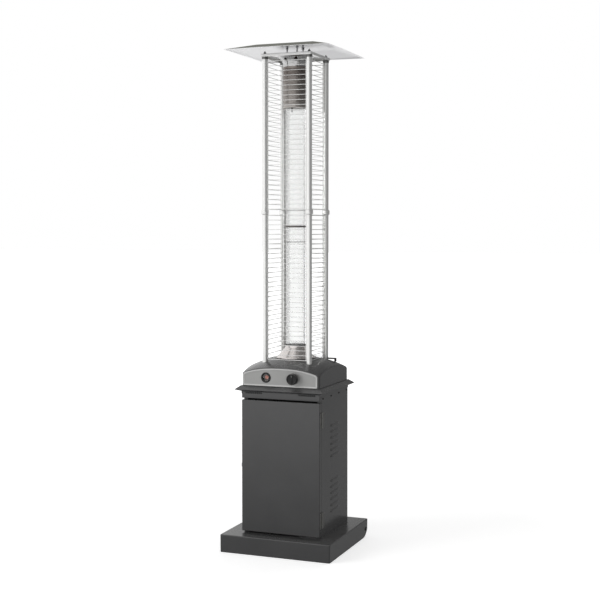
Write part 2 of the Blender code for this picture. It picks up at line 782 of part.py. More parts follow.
def make_controls(plastic, brass, steel, copper):
    """Knob, spindle, plunger and valve in line, with the pipe that feeds the burner."""
    neck_front = fascia_field_y - seat_gap
    knob_back = neck_front - knob_press_travel - seat_gap
    knob_front = knob_back - knob_base_length - knob_length
    face = knob_length + knob_base_length
    tip, lip = knob_radius - knob_edge, knob_radius - knob_edge - knob_rim
    outline = [(spindle_radius + seat_gap, 0), (knob_base_radius, 0), (knob_base_radius, knob_base_length)]
    outline += [(knob_radius, knob_base_length + knob_edge), (knob_radius, face - knob_edge), (tip, face)]
    outline += [(lip, face), (lip - knob_edge / 2, face - knob_recess)]
    bore_end = spindle_bore
    outline += [(spindle_radius + seat_gap, face - knob_recess)]
    knob = turned("control_knob", outline, plastic, closed=True)
    bar = block("Grip", (-knob_grip_width / 2, -lip, bore_end + seat_gap), (knob_grip_width / 2, lip, face))
    carve(knob, [bar], "UNION")
    stood(knob, (control_x, knob_back, control_z), (0, -1, 0))
    settle_place(knob, (control_x, knob_back, control_z))

    valve_front = housing_inner_y + seat_gap
    plunger_back = valve_front + valve_neck_length / 2
    plunger_front = plunger_back - plunger_length
    spindle_tip = knob_back - bore_end
    rod = [(spindle_radius, 0), (spindle_radius, plunger_front - seat_gap - spindle_tip)]
    spindle = turned("valve_spindle", rod, brass, small_steps)
    stood(spindle, (control_x, spindle_tip, control_z), (0, 1, 0))
    sleeve = [(plunger_radius, 0), (plunger_radius, plunger_length)]
    stood(turned("valve_plunger", sleeve, steel, round_steps), (control_x, plunger_front, control_z),
          (0, 1, 0))

    body_front = plunger_back + knob_press_travel
    body_back = valve_y() + valve_depth / 2 + knob_press_travel
    low = (control_x - valve_width / 2, valve_front, control_z - valve_height / 2)
    high = (control_x + valve_width / 2, body_back, control_z + valve_height / 2)
    valve = block("gas_valve", low, high, brass, valve_bevel)
    settle(valve)
    neck_length = valve_front + fuse_depth - neck_front
    neck = turned("Neck", [(valve_neck_radius, 0), (valve_neck_radius, neck_length)])
    stood(neck, (control_x, neck_front, control_z), (0, 1, 0))
    inlet_top = control_z - valve_height / 2 + fuse_depth
    inlet = turned("Inlet", [(inlet_radius, 0), (inlet_radius, inlet_length)], steps=small_steps)
    stood(inlet, (control_x, valve_y(), inlet_top - inlet_length))
    carve(valve, [neck, inlet], "UNION")
    well = drill("Well", plunger_radius + seat_gap, (control_x, neck_front, control_z),
                 (control_x, body_front, control_z))
    carve(valve, [well])

    pipe_start = body_back + seat_gap
    stem_x = burner_stem_radius + seat_gap
    path = [(control_x, pipe_start), (control_x, 0), (stem_x, 0)]
    centre = bent([Vector(point) for point in path], pipe_bend, 6)
    loops = []
    for index, point in enumerate(centre):
        before, after = centre[max(index - 1, 0)], centre[min(index + 1, len(centre) - 1)]
        ahead = (after - before).normalized()
        side = Vector((-ahead.y, ahead.x))
        ring = []
        for step in range(small_steps):
            turn = math.tau * step / small_steps
            spot = point + side * pipe_radius * math.cos(turn)
            ring.append((spot.x, spot.y, control_z + pipe_radius * math.sin(turn)))
        loops.append(ring)
    loft("gas_pipe", loops, copper)


def settle_place(made, origin):
    """Put the object's origin on its joint axis, with the piece where it is."""
    made.data.transform(Matrix.Translation(-Vector(origin)) @ made.matrix_world)
    made.matrix_world = Matrix.Translation(origin)
    return made


def make_burner(iron, copper, steel, plastic):
    """Burner on its stem, the pilot that shows through the window, and the tilt switch."""
    foot = tray_top + seat_gap
    profile = [(burner_foot_radius, foot), (burner_foot_radius, foot + burner_foot_height)]
    profile += [(burner_stem_radius, foot + burner_foot_height), (burner_stem_radius, burner_neck_z)]
    profile += [(burner_head_radius, burner_head_z), (burner_head_radius, burner_top_z - burner_crown)]
    profile += [(burner_head_radius - burner_crown, burner_top_z)]
    turned("burner", profile, iron)

    half = pilot_foot / 2
    base = block("pilot_burner", (-half, -half, 0), (half, half, pilot_foot_height), steel)
    height = pilot_top_z - foot
    profile = [(pilot_radius, pilot_foot_height / 2), (pilot_radius, height)]
    tube = turned("Tube", profile, steps=small_steps)
    carve(base, [tube], "UNION")
    base.data.materials.clear()
    base.data.materials.append(copper)
    stood(base, (-control_x, pilot_y, foot))

    low = (switch_place[0], switch_place[1], foot)
    high = [start + size for start, size in zip(low, switch_size)]
    block("tilt_switch", low, high, plastic, switch_edge)


def make_flame_tube(steel, rubber, glass, dark):
    """Burner cone, glass in two lengths with its rings, and the drum on top."""
    sheet = cone_sheet
    foot = (cone_base_radius - sheet * 2) * math.cos(math.pi / wide_steps)
    rest = max(dome_height(x, y) for x, y, _ in circle(foot, 0, wide_steps * 2)) + seat_gap
    flange_top = rest + cone_flange_height
    outer = [(cone_flange_radius, rest), (cone_flange_radius, flange_top), (cone_base_radius, flange_top)]
    outer += [(cone_top_radius, cone_neck_z), (cone_top_radius, cone_top_z)]
    inner = [(cone_top_radius - sheet, cone_top_z), (cone_top_radius - sheet, cone_neck_z - sheet)]
    inner += [(cone_base_radius - sheet * 2, rest)]
    turned("burner_cone", outer + inner, steel, wide_steps, closed=True)

    outside, inside = glass_radius, glass_radius - glass_wall
    lip_in = outside + seat_gap
    low = cone_top_z + seat_gap
    ring = [(inside - sheet, low), (lip_in + ring_sheet * 2, low),
            (lip_in + ring_sheet * 2, low + ring_lip)]
    ring += [(lip_in, low + ring_lip), (lip_in, low + ring_sheet), (inside - sheet, low + ring_sheet)]
    turned("glass_base_ring", ring, rubber, wide_steps, closed=True)

    web_low, web_high = glass_joint_z - ring_sheet / 2, glass_joint_z + ring_sheet / 2
    wall = lip_in + joint_ring_wall
    low, high = glass_joint_z - joint_ring_half_height, glass_joint_z + joint_ring_half_height
    ring = [(lip_in, low), (wall, low), (wall, high), (lip_in, high), (lip_in, web_high),
            (inside, web_high)]
    ring += [(inside, web_low), (lip_in, web_low)]
    turned("glass_joint_ring", ring, dark, wide_steps, closed=True)

    for name, low, high in (("glass_tube_lower", glass_bottom_z, web_low - seat_gap),
                            ("glass_tube_upper", web_high + seat_gap, glass_top_z)):
        section = [(inside, low), (outside, low), (outside, high), (inside, high)]
        turned(name, section, glass, wide_steps, closed=True)


def make_emitter(steel):
    """A drum whose flanged lid carries the studs; its lower end holds the top of the glass."""
    sheet, drum = emitter_sheet, emitter_radius
    lip_in = glass_radius + seat_gap
    ledge = glass_top_z + seat_gap
    inner = glass_radius - glass_wall
    top, bottom = emitter_top_z, emitter_bottom_z
    outline = [(lid_opening_radius, top - sheet), (drum - sheet, top - sheet),
               (drum - sheet, bottom + sheet)]
    outline += [(lip_in + sheet, bottom + sheet), (lip_in + sheet, ledge + sheet), (inner, ledge + sheet)]
    outline += [(inner, ledge), (lip_in, ledge), (lip_in, bottom), (drum, bottom), (drum, top),
                (lid_opening_radius, top)]
    emitter = turned("emitter_drum", outline, steel, wide_steps, closed=True)
    holes = []
    for spot in stud_spots():
        start, end = (spot.x, spot.y, emitter_top_z - sheet), (spot.x, spot.y, emitter_top_z)
        holes.append(drill("Stud hole", stud_radius + seat_gap, start, end, small_steps))
    carve(emitter, [gathered("Stud holes", holes)])


def stud_spots():
    for angle in stud_angles:
        turn = math.radians(angle)
        yield Vector((math.cos(turn), math.sin(turn), 0)) * stud_circle


def make_collar(steel):
    """A trumpet of sheet from the drum up to the top plate, pierced all round."""
    sheet = collar_sheet
    low = emitter_top_z + seat_gap
    high = post_top_z
    throat, mouth = emitter_radius - sheet, collar_mouth_radius
    flare = []
    for step in range(collar_steps + 1):
        turn = math.pi / 2 * step / collar_steps
        flare.append((throat + (mouth - throat) * (1 - math.cos(turn)),
                      low + (high - sheet - low) * math.sin(turn)))
    outer = [(collar_throat_radius, low)] + flare
    outer += [(collar_rim_radius, high - sheet), (collar_rim_radius, high), (mouth, high)]
    inner = []
    for step in range(collar_steps, -1, -1):
        turn = math.pi / 2 * step / collar_steps
        start = throat - sheet
        inner.append((start + (mouth - start) * (1 - math.cos(turn)),
                      low + sheet + (high - low - sheet) * math.sin(turn)))
    inner = inner[1:] + [(collar_throat_radius, low + sheet)]
    collar = turned("emitter_collar", outer + inner, steel, wide_steps, closed=True)
    holes = []
    middle_z = low + (high - low) * collar_hole_height_share
    for number in range(collar_holes):
        turn = math.tau * (number + 0.5) / collar_holes
        way = Vector((math.cos(turn), math.sin(turn), 0))
        start, end = way * collar_throat_radius, way * collar_rim_radius
        start.z = end.z = middle_z
        holes.append(drill("Collar hole", collar_hole_radius, start, end, stud_steps))
    carve(collar, [gathered("Collar holes", holes)])


def make_top_plate(steel):
    sheet, corner = top_plate_sheet, top_plate_corner
    half, rim_z = top_plate_half, top_plate_z - top_plate_rim
    inner_corner = max(corner - sheet, sheet)
    loops = [square(half - sheet, top_plate_z - sheet, inner_corner),
             square(half - sheet, rim_z, inner_corner)]
    loops += [square(half, rim_z, corner), square(half, top_plate_z - sheet, corner)]
    loops += [square(half - sheet, top_plate_z, corner)]
    plate = loft("top_plate", loops, steel)
    below, above = top_plate_z - sheet, top_plate_z
    tools = [drill("Throat", collar_mouth_radius - collar_sheet, (0, 0, below), (0, 0, above), wide_steps)]
    for x in (-post_offset, post_offset):
        for y in (-post_offset, post_offset):
            tools.append(drill("Stud hole", post_stud_radius + seat_gap, (x, y, below), (x, y, above),
                               small_steps))
    carve(plate, tools)


def corner_name(x, y):
    return ("front" if y < 0 else "rear") + "_" + ("left" if x < 0 else "right")


def make_posts(steel):
    """Round posts in two lengths: the lower one ends in a barrel collar that takes the upper."""
    radius, bore = post_radius, post_radius - post_wall
    sleeve = radius + seat_gap
    low, high = post_joint_z - collar_half_length, post_joint_z + collar_half_length
    barrel, edge = collar_outer_radius, collar_edge
    lower = [(bore, post_foot_z), (radius, post_foot_z), (radius, low), (barrel, low + edge)]
    lower += [(barrel, high - edge), (sleeve, high), (sleeve, post_joint_z), (bore, post_joint_z)]
    start = post_joint_z + seat_gap
    shoulder, nut_low = post_top_z - post_wall, top_plate_z + seat_gap
    upper = [(bore, start), (radius, start), (radius, post_top_z), (post_stud_radius, post_top_z)]
    upper += [(post_stud_radius, nut_low), (post_stud_nut_radius, nut_low),
              (post_stud_nut_radius, nut_low + post_nut_height)]
    upper += [(post_stud_radius, nut_low + post_nut_height), (post_stud_radius, post_stud_top)]
    for x in (-post_offset, post_offset):
        for y in (-post_offset, post_offset):
            name = corner_name(x, y)
            stood(turned("post_lower_" + name, lower, steel, post_steps, closed=True), (x, y, 0))
            post = turned("post_upper_" + name, upper, steel, post_steps)
            hollow = turned("Bore", [(bore, start - cut_overrun), (bore, shoulder)], steps=post_steps)
            carve(post, [hollow])
            stood(post, (x, y, 0))


def guard_mesh(reach, low, high):
    """Two side rods and two end rails with level wires of three sides, all in one skin."""
    half, thick = guard_rod / 2, guard_wire / 2
    mesh = bmesh.new()

    def spot(x, y, z):
        return mesh.verts.new((x, y, z))

    def face(*corners):
        mesh.faces.new(corners)

    outside, inside = reach + half, reach - half
    bars = {}
    for side in (-1, 1):
        for depth in (-half, half):
            bars[side, depth] = [spot(depth, side * outside, low - half),
                                 spot(depth, side * outside, high + half),
                                 spot(depth, side * inside, high - half),
                                 spot(depth, side * inside, low + half)]
    pitch = (high - low) / (guard_wires - 1)
    levels = [low + pitch * number for number in range(1, guard_wires - 1)]
    ends = {side: [(spot(-thick, side * inside, z - thick), spot(thick, side * inside, z - thick),
                    spot(0, side * inside, z + thick)) for z in levels] for side in (-1, 1)}
    for near, far in zip(ends[-1], ends[1]):
        for corner in range(3):
            after = (corner + 1) % 3
            face(near[corner], near[after], far[after], far[corner])
    for side in (-1, 1):
        front, back = bars[side, -half], bars[side, half]
        face(front[0], front[1], back[1], back[0])
        rows = ends[side]
        left, right = [front[3]], [back[3]]
        for row in rows:
            left += [row[0], row[2]]
            right += [row[1], row[2]]
        face(*left, front[2])
        face(*right, back[2])
        face(front[3], back[3], rows[0][1], rows[0][0])
        face(rows[-1][2], front[2], back[2])
        for below, above in zip(rows, rows[1:]):
            face(below[2], above[0], above[1])
    for first, second in ((0, 3), (2, 1)):
        face(bars[-1, -half][first], bars[1, -half][first], bars[1, half][first], bars[-1, half][first])
        face(bars[-1, -half][second], bars[1, -half][second], bars[1, half][second], bars[-1, half][second])
    for depth in (-half, half):
        one, other = bars[-1, depth], bars[1, depth]
        for bar in (one, other):
            face(bar[0], bar[1], bar[2], bar[3])
        face(one[0], other[0], other[3], one[3])
        face(one[1], other[1], other[2], one[2])
    bmesh.ops.recalc_face_normals(mesh, faces=mesh.faces)
    return mesh


def make_guards(steel):
    """Level wires welded into a frame of rods; four guards to each length of the posts."""
    reach = post_offset - post_radius - seat_gap - guard_rod / 2
    along = [reach * share / 4 for share in range(-4, 5)]
    rail_rest = highest_dome((post_offset - guard_rod, post_offset + guard_rod), along)
    bottom = rail_rest + seat_gap + guard_rod / 2
    sides = {"right": 0, "rear": 90, "left": 180, "front": 270}
    levels = (("lower", bottom, guard_lower_top), ("upper", guard_upper_bottom, guard_upper_top))
    for level, low, high in levels:
        for side, angle in sides.items():
            guard = make_object("guard_" + level + "_" + side, guard_mesh(reach, low, high), steel)
            way = math.radians(angle)
            guard.rotation_euler.z = way
            guard.location = (post_offset * math.cos(way), post_offset * math.sin(way), 0)


def make_reflector(sheet_metal, steel):
    """Square sheet with four flaps bent down, whose edges rise a little between the corners."""
    steps, edge, flat = reflector_steps, reflector_edge_half, reflector_flat_half
    corners = [(-1, -1), (1, -1), (1, 1), (-1, 1)]

    def ring(half, height, bow):
        loop = []
        for (x0, y0), (x1, y1) in zip(corners, corners[1:] + corners[:1]):
            for step in range(steps):
                share = step / steps
                swell = bow * (1 - (2 * share - 1) ** 2)
                x, y = x0 + (x1 - x0) * share, y0 + (y1 - y0) * share
                loop.append((half * x, half * y, height + swell))
        return loop

    under, corner = reflector_flat_z - reflector_sheet, reflector_corner_z
    hem = edge - reflector_sheet
    loops = [ring(flat, under, 0), ring(hem, corner, reflector_edge_bow),
             ring(edge, corner, reflector_edge_bow)]
    loops += [ring(edge, corner + reflector_sheet, reflector_edge_bow), ring(flat, reflector_flat_z, 0)]
    reflector = loft("reflector", loops, sheet_metal)
    holes = [drill("Stud hole", stud_radius + seat_gap, (*spot.xy, under),
                   (*spot.xy, reflector_flat_z), small_steps)
             for spot in stud_spots()]
    carve(reflector, holes)

    foot, nut = stud_foot_z, stud_nut_height
    shoulder = under - seat_gap
    cap = reflector_flat_z + seat_gap
    profile = [(stud_nut_radius, foot), (stud_nut_radius, foot + nut), (stud_radius, foot + nut)]
    profile += [(stud_radius, shoulder - nut), (stud_nut_radius, shoulder - nut),
                (stud_nut_radius, shoulder)]
    profile += [(stud_radius, shoulder), (stud_radius, cap), (stud_nut_radius, cap),
                (stud_nut_radius, cap + nut)]
    profile += [(stud_radius, stud_top)]
    for number, spot in enumerate(stud_spots(), start=1):
        stood(turned("reflector_stud_%d" % number, profile, steel, stud_steps), spot)


def make_hinge(level, centre_z, steel):
    """A butt hinge: the frame leaf carries two knuckles and the pin, the door leaf the middle one."""
    radius = hinge_knuckle_radius
    low, high = centre_z - hinge_height / 2, centre_z + hinge_height / 2
    knuckle = hinge_height / hinge_knuckles
    inner = cabinet_half + seat_gap - hinge_x
    clear = radius + knuckle_gap
    leaves = (("frame", 1, hinge_leaf_width, 0), ("door", -1, hinge_door_leaf_width, 1))
    for owner, way, width, first in leaves:
        outline = [(way * width, low), (way * clear, low)]
        barrels = []
        for number in range(first, hinge_knuckles, 2):
            start = low + number * knuckle + knuckle_gap / 2
            end = low + (number + 1) * knuckle - knuckle_gap / 2
            barrels.append(turned("Knuckle", [(radius, start), (radius, end)], steps=small_steps))
            start, end = start + knuckle_gap, end - knuckle_gap
            outline += [(way * clear, start), (0, start), (0, end), (way * clear, end)]
        outline += [(way * clear, high), (way * width, high)]
        leaf = prism("hinge_" + level + "_" + owner, outline, inner, inner + hinge_leaf, "X", steel)
        carve(leaf, barrels, "UNION")
        if owner == "door":
            room = drill("Pin room", hinge_pin_radius + seat_gap, (0, 0, low), (0, 0, high), small_steps)
            carve(leaf, [room])
        else:
            pin = turned("Pin", [(hinge_pin_radius, low), (hinge_pin_radius, high)], steps=small_steps)
            carve(leaf, [pin], "UNION")
        leaf.matrix_world = Matrix.Translation((hinge_x, hinge_y, 0))


def make_door(finish, steel, plastic):
    """Tray-shaped door with its pull, the magnet that holds it and its two hinges."""
    low, high = (-cabinet_half, door_bottom), (cabinet_half, door_top)
    depth = front_depth - seat_gap
    door = pressed_tray("door", low, high, depth, cabinet_sheet, cabinet_bend, cabinet_bend, finish,
                        -cabinet_half)
    settle_place(door, (hinge_x, hinge_y, 0))
    for level, centre in zip(("lower", "upper"), hinge_centres):
        make_hinge(level, centre, steel)

    side = -cabinet_half - seat_gap
    middle_y = -cabinet_half + front_depth / 2
    start = (side - pull_reach, middle_y - pull_depth / 2, pull_z - pull_height / 2)
    end = (side, middle_y + pull_depth / 2, pull_z + pull_height / 2)
    pull = block("door_pull", start, end, steel, pull_edge)
    settle(pull)
    settle_place(pull, (hinge_x, hinge_y, 0))

    inner = -cabinet_half + cabinet_bend + seat_gap
    width, depth, height = magnet_size
    behind = shell_front + cabinet_sheet + seat_gap
    low = (inner, behind, pull_z - height / 2)
    block("magnet_catch", low, (inner + width, behind + depth, pull_z + height / 2), plastic)


def make_guard_clip(steel):
    """A bent strip on the housing that reaches the foot of the rear right post."""
    start = post_offset + post_radius + seat_gap
    end = start + clip_reach
    leg = end - clip_sheet
    near, far = post_offset - clip_width / 2, post_offset + clip_width / 2
    under = highest_dome((start, end), (near, post_offset, far)) + clip_rise
    rest = highest_dome((leg, end), (near, post_offset, far)) + seat_gap
    over = under + clip_sheet
    section = [(start, under), (leg, under), (leg, rest), (end, rest), (end, over), (start, over)]
    prism("guard_clip", section, near, far, "Y", steel)


def build():
    clear_scene()
    powder_coat = surface("Dark grey powder coat", (0.30, 0.30, 0.30), 0.35, 0.3)
    silver_coat = surface("Silver fascia coat", (0.63, 0.63, 0.63), 0.4, 0.4)
    stainless = surface("Stainless steel", (0.78, 0.77, 0.75), 0.25, 1.0)
    aluminium = surface("Aluminium sheet", (0.85, 0.86, 0.86), 0.35, 0.9)
    zinc = surface("Zinc-plated steel", (0.6, 0.6, 0.6), 0.4, 1.0)
    brass = surface("Brass", (0.75, 0.62, 0.35), 0.3, 1.0)
    copper = surface("Copper", (0.72, 0.42, 0.30), 0.3, 1.0)
    black_plastic = surface("Black plastic", (0.06, 0.06, 0.06), 0.4, 0.0)
    black_rubber = surface("Black rubber", (0.05, 0.05, 0.05), 0.8, 0.0)
    burnt_steel = surface("Heat-browned steel", (0.45, 0.41, 0.38), 0.35, 1.0)
    clear_glass = surface("Clear glass", (0.97, 0.98, 0.98), 0.02, 0.0, 1.0)

    make_plinth(powder_coat)
    make_wheels(zinc, black_plastic, black_rubber)
    make_cabinet(powder_coat)
    make_tray(powder_coat)
    make_housing(powder_coat)
    make_fascia(silver_coat)
    make_window(black_plastic, clear_glass)
    make_controls(black_plastic, brass, zinc, copper)
    make_burner(burnt_steel, copper, zinc, black_plastic)
    make_flame_tube(stainless, black_rubber, clear_glass, burnt_steel)
    make_emitter(burnt_steel)
    make_collar(stainless)
    make_top_plate(stainless)
    make_posts(stainless)
    make_guards(stainless)
    make_reflector(aluminium, zinc)
    make_door(powder_coat, zinc, black_plastic)
    make_guard_clip(powder_coat)


build()
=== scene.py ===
"""Looks of a free-standing gas patio heater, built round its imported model.

Metres, +Z up, with the door and the controls towards -Y. The sections follow the
heater from the floor up, as it is put together, and the door comes last.
"""
from math import copysign, cos, pi, radians, sin, sqrt, tau

import bmesh
import bpy
from mathutils import Matrix, Vector


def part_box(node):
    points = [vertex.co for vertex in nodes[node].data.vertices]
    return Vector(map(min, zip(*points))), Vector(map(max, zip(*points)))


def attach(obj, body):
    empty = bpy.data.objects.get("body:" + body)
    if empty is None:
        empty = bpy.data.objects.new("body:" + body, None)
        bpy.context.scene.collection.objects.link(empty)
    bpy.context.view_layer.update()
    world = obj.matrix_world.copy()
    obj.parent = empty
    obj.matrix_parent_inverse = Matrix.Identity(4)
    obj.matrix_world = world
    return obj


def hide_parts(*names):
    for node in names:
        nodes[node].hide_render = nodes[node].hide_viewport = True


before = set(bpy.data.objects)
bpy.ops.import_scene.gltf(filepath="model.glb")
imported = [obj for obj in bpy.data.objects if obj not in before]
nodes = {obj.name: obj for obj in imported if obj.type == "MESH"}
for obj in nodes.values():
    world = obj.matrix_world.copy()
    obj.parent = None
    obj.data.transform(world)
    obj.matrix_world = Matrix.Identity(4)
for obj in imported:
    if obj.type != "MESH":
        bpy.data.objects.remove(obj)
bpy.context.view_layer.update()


# Camera, light and floor
# A camera a little below the posts' joint, soft light from the left, and a pale
# floor that turns white in the picture but keeps the heater's shadow.
camera_place = (2.0159, -5.0584, 1.4478)
camera_turn = 21.526
camera_dip = 2.316
camera_lens = 71.874
camera_shift = -0.04
sky_light = 0.66
overhead_share = 0.35
white_light = 1.0
dim_side = 0.20
dim_blend = 0.38
sky_dim_edge = -0.22
floor_dim_edge = 0.08
floor_tone = 0.80
floor_near_mirror = 0.22
floor_fill = 0.58
floor_far_fill = 0.40
floor_half = 60.0
floor_fade = (1.2, 5.0)
mirror_fade = (0.9, 4.5)
lamp_aim = Vector((0, 0, 1.1))
lamps = (("Left lamp", 3.0, 150, (-3.9, -3.8, 2.2)), ("Front lamp", 2.5, 40, (2.4, -5.0, 1.8)),
         ("Back lamp", 2.5, 45, (1.0, 4.5, 3.2)))
white = (1, 1, 1, 1)
black = (0, 0, 0, 1)


def feed(tree, node, sockets):
    """Give each socket a value, or a link where it is given a socket."""
    for name, value in sockets.items():
        if isinstance(value, bpy.types.NodeSocket):
            tree.links.new(value, node.inputs[name])
        else:
            node.inputs[name].default_value = value


def add_node(tree, kind, sockets=None, **settings):
    made = tree.nodes.new("ShaderNode" + kind)
    for name, value in settings.items():
        setattr(made, name, value)
    feed(tree, made, sockets or {})
    return made


def number_node(tree, way, *values, clamp=False):
    return add_node(tree, "Math", dict(enumerate(values)), operation=way, use_clamp=clamp).outputs[0]


def blended(tree, share, first, second):
    return add_node(tree, "Mix", {0: share, 6: first, 7: second}, data_type="RGBA").outputs[2]


def mapped(tree, value, start, end, low, high, **settings):
    """Turn a value's change from start to end into one from low to high."""
    limits = {"From Min": start, "From Max": end, "To Min": low, "To Max": high}
    return add_node(tree, "MapRange", {"Value": value, **limits}, **settings).outputs["Result"]


def paint(*channels):
    """A colour as it looks on screen, made linear for the shaders."""
    return (*(channel ** 2.2 for channel in channels), 1.0)


def new_finish(name):
    finish = bpy.data.materials.new(name)
    finish.use_nodes = True
    return finish, finish.node_tree, finish.node_tree.nodes["Principled BSDF"]


def backdrop_rays(tree):
    """Two switches: for rays that look straight or through glass, and for mirrored rays."""
    rays = add_node(tree, "LightPath").outputs
    looking = number_node(tree, "MAXIMUM", rays["Is Camera Ray"], rays["Is Transmission Ray"])
    return looking, number_node(tree, "SUBTRACT", rays["Is Glossy Ray"], looking, clamp=True)


def mirrored_room(tree, direction, edge):
    """The room in a mirror: white at the left and in front, dim at the right."""
    turn = radians(camera_turn)
    side = add_node(tree, "VectorMath", {0: direction, 1: (cos(turn), sin(turn), 0)},
                    operation="DOT_PRODUCT")
    return mapped(tree, side.outputs["Value"], edge, edge + dim_blend, white_light, dim_side,
                  interpolation_type="SMOOTHSTEP")


def added(name, data):
    made = bpy.data.objects.new(name, data)
    bpy.context.scene.collection.objects.link(made)
    return made


camera_data = bpy.data.cameras.new("Photo camera")
camera_data.lens = camera_lens
camera_data.shift_y = camera_shift
camera = added("Photo camera", camera_data)
camera.location = camera_place
camera.rotation_euler = (radians(90 - camera_dip), 0, radians(camera_turn))
bpy.context.scene.camera = camera
bpy.context.scene.view_settings.view_transform = "Standard"

world = bpy.data.worlds.new("Studio")
world.use_nodes = True
bpy.context.scene.world = world
tree = world.node_tree
looking, mirrored = backdrop_rays(tree)
direction = add_node(tree, "TexCoord").outputs["Generated"]
room = mirrored_room(tree, direction, sky_dim_edge)
height = add_node(tree, "SeparateXYZ", {"Vector": direction}).outputs["Z"]
sky = mapped(tree, height, 0.0, 1.0, sky_light, sky_light * overhead_share)
level = number_node(tree, "MULTIPLY", looking, number_node(tree, "SUBTRACT", white_light, sky))
change = number_node(tree, "MULTIPLY", mirrored, number_node(tree, "SUBTRACT", room, sky))
level = number_node(tree, "ADD", number_node(tree, "ADD", level, change), sky)
feed(tree, tree.nodes["Background"], {"Color": white, "Strength": level})

for name, size, power, place in lamps:
    lamp_data = bpy.data.lights.new(name, "AREA")
    lamp_data.size = size
    lamp_data.energy = power
    lamp = added(name, lamp_data)
    lamp.location = place
    lamp.rotation_euler = (lamp_aim - lamp.location).to_track_quat("-Z", "Y").to_euler()
    lamp.visible_glossy = False


def smoothed(piece, smooth_angle=32):
    piece.data.shade_smooth()
    piece.data.set_sharp_from_angle(angle=radians(smooth_angle))
    return piece


def add_piece(name, shapes, finish, smooth_angle=32, merge=None):
    """One object from lists of points and faces, smooth except at its sharp edges."""
    mesh = bmesh.new()
    for points, faces in shapes:
        spots = [mesh.verts.new(point) for point in points]
        for face in faces:
            mesh.faces.new([spots[index] for index in face])
    if merge:
        bmesh.ops.remove_doubles(mesh, verts=mesh.verts, dist=merge)
    bmesh.ops.recalc_face_normals(mesh, faces=mesh.faces)
    data = bpy.data.meshes.new(name)
    mesh.to_mesh(data)
    mesh.free()
    data.materials.append(finish)
    return smoothed(added(name, data), smooth_angle)


floor_finish, tree, shader = new_finish("Pale floor")
looking, mirrored = backdrop_rays(tree)
grain = add_node(tree, "TexNoise", {"Scale": 14.0, "Detail": 3.0}).outputs["Fac"]
shade = blended(tree, grain, (floor_tone,) * 3 + (1,), (floor_tone * 0.985,) * 3 + (1,))
place = add_node(tree, "TexCoord").outputs["Object"]
away = add_node(tree, "VectorMath", {0: place}, operation="LENGTH").outputs["Value"]
outward = add_node(tree, "VectorMath", {0: place}, operation="NORMALIZE").outputs["Vector"]
fill = mapped(tree, away, *floor_fade, floor_fill, floor_fill + floor_far_fill)
room = mirrored_room(tree, outward, floor_dim_edge)
in_mirror = mapped(tree, away, *mirror_fade, floor_near_mirror, room)
glow = number_node(tree, "ADD", number_node(tree, "MULTIPLY", looking, fill),
                   number_node(tree, "MULTIPLY", mirrored, in_mirror))
feed(tree, shader, {"Base Color": blended(tree, mirrored, shade, black), "Roughness": 0.65,
                    "Specular IOR Level": 0.25, "Emission Color": white, "Emission Strength": glow})
corners = [(x * floor_half, y * floor_half, 0) for x, y in ((-1, -1), (1, -1), (1, 1), (-1, 1))]
add_piece("studio_floor", [(corners, [(0, 1, 2, 3)])], floor_finish)


# Plinth
# A deep pan folded from steel sheet, open below, with a hem turned in round its foot
# and its lower rear edge cut back so that the heater tips onto its wheels.
plinth_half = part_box("base_pan")[1].x
plinth_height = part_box("base_pan")[1].z
plinth_sheet = 0.0015
plinth_bend = 0.004
plinth_corner = 0.007
plinth_hem = 0.014
hem_taper = 0.004
relief_length = 0.0685
relief_height = 0.057
relief_cuts = 28
dust_colour = (0.55, 0.53, 0.50, 1)


def new_group(name, inputs, outputs):
    """A shared shader effect; its inputs are given with their first values."""
    group = bpy.data.node_groups.new(name, "ShaderNodeTree")
    for label, value in inputs.items():
        kind = {4: "Color", 3: "Vector"}[len(value)] if isinstance(value, tuple) else "Float"
        socket = group.interface.new_socket(label, in_out="INPUT", socket_type="NodeSocket" + kind)
        socket.default_value = value
    for label in outputs:
        kind = "Color" if label == "Colour" else "Float"
        group.interface.new_socket(label, in_out="OUTPUT", socket_type="NodeSocket" + kind)
    return group, group.nodes.new("NodeGroupInput").outputs, group.nodes.new("NodeGroupOutput")


def noise(tree, place, scale, detail):
    return add_node(tree, "TexNoise", {"Vector": place, "Scale": scale, "Detail": detail}).outputs["Fac"]


def coat_texture():
    """Orange peel, soft clouding and a little settled dust, as on powder-coated sheet."""
    group, given, out = new_group(
        "Coat texture", {"Colour": (0.1, 0.1, 0.1, 1), "Roughness": 0.35, "Peel Scale": 620.0, "Dust": 0.15},
        ("Colour", "Roughness", "Height"))
    place = add_node(group, "TexCoord").outputs["Object"]
    peel = noise(group, place, given["Peel Scale"], 2.0)
    cloud = noise(group, place, 7.0, 4.0)
    speck = noise(group, place, 260.0, 2.0)
    up = add_node(group, "SeparateXYZ", {"Vector": add_node(group, "NewGeometry").outputs["Normal"]})
    facing = number_node(group, "MULTIPLY", up.outputs["Z"], given["Dust"], clamp=True)
    dusty = number_node(group, "MULTIPLY", facing, speck)
    darker = blended(group, 0.07, given["Colour"], black)
    lighter = blended(group, 0.010, given["Colour"], white)
    clouded = blended(group, cloud, darker, lighter)
    spread = number_node(group, "MULTIPLY_ADD", cloud, 0.10, -0.05)
    rough = number_node(group, "ADD", given["Roughness"], spread)
    feed(group, out, {"Colour": blended(group, dusty, clouded, dust_colour),
                      "Roughness": number_node(group, "ADD", rough, dusty), "Height": peel})
    return group


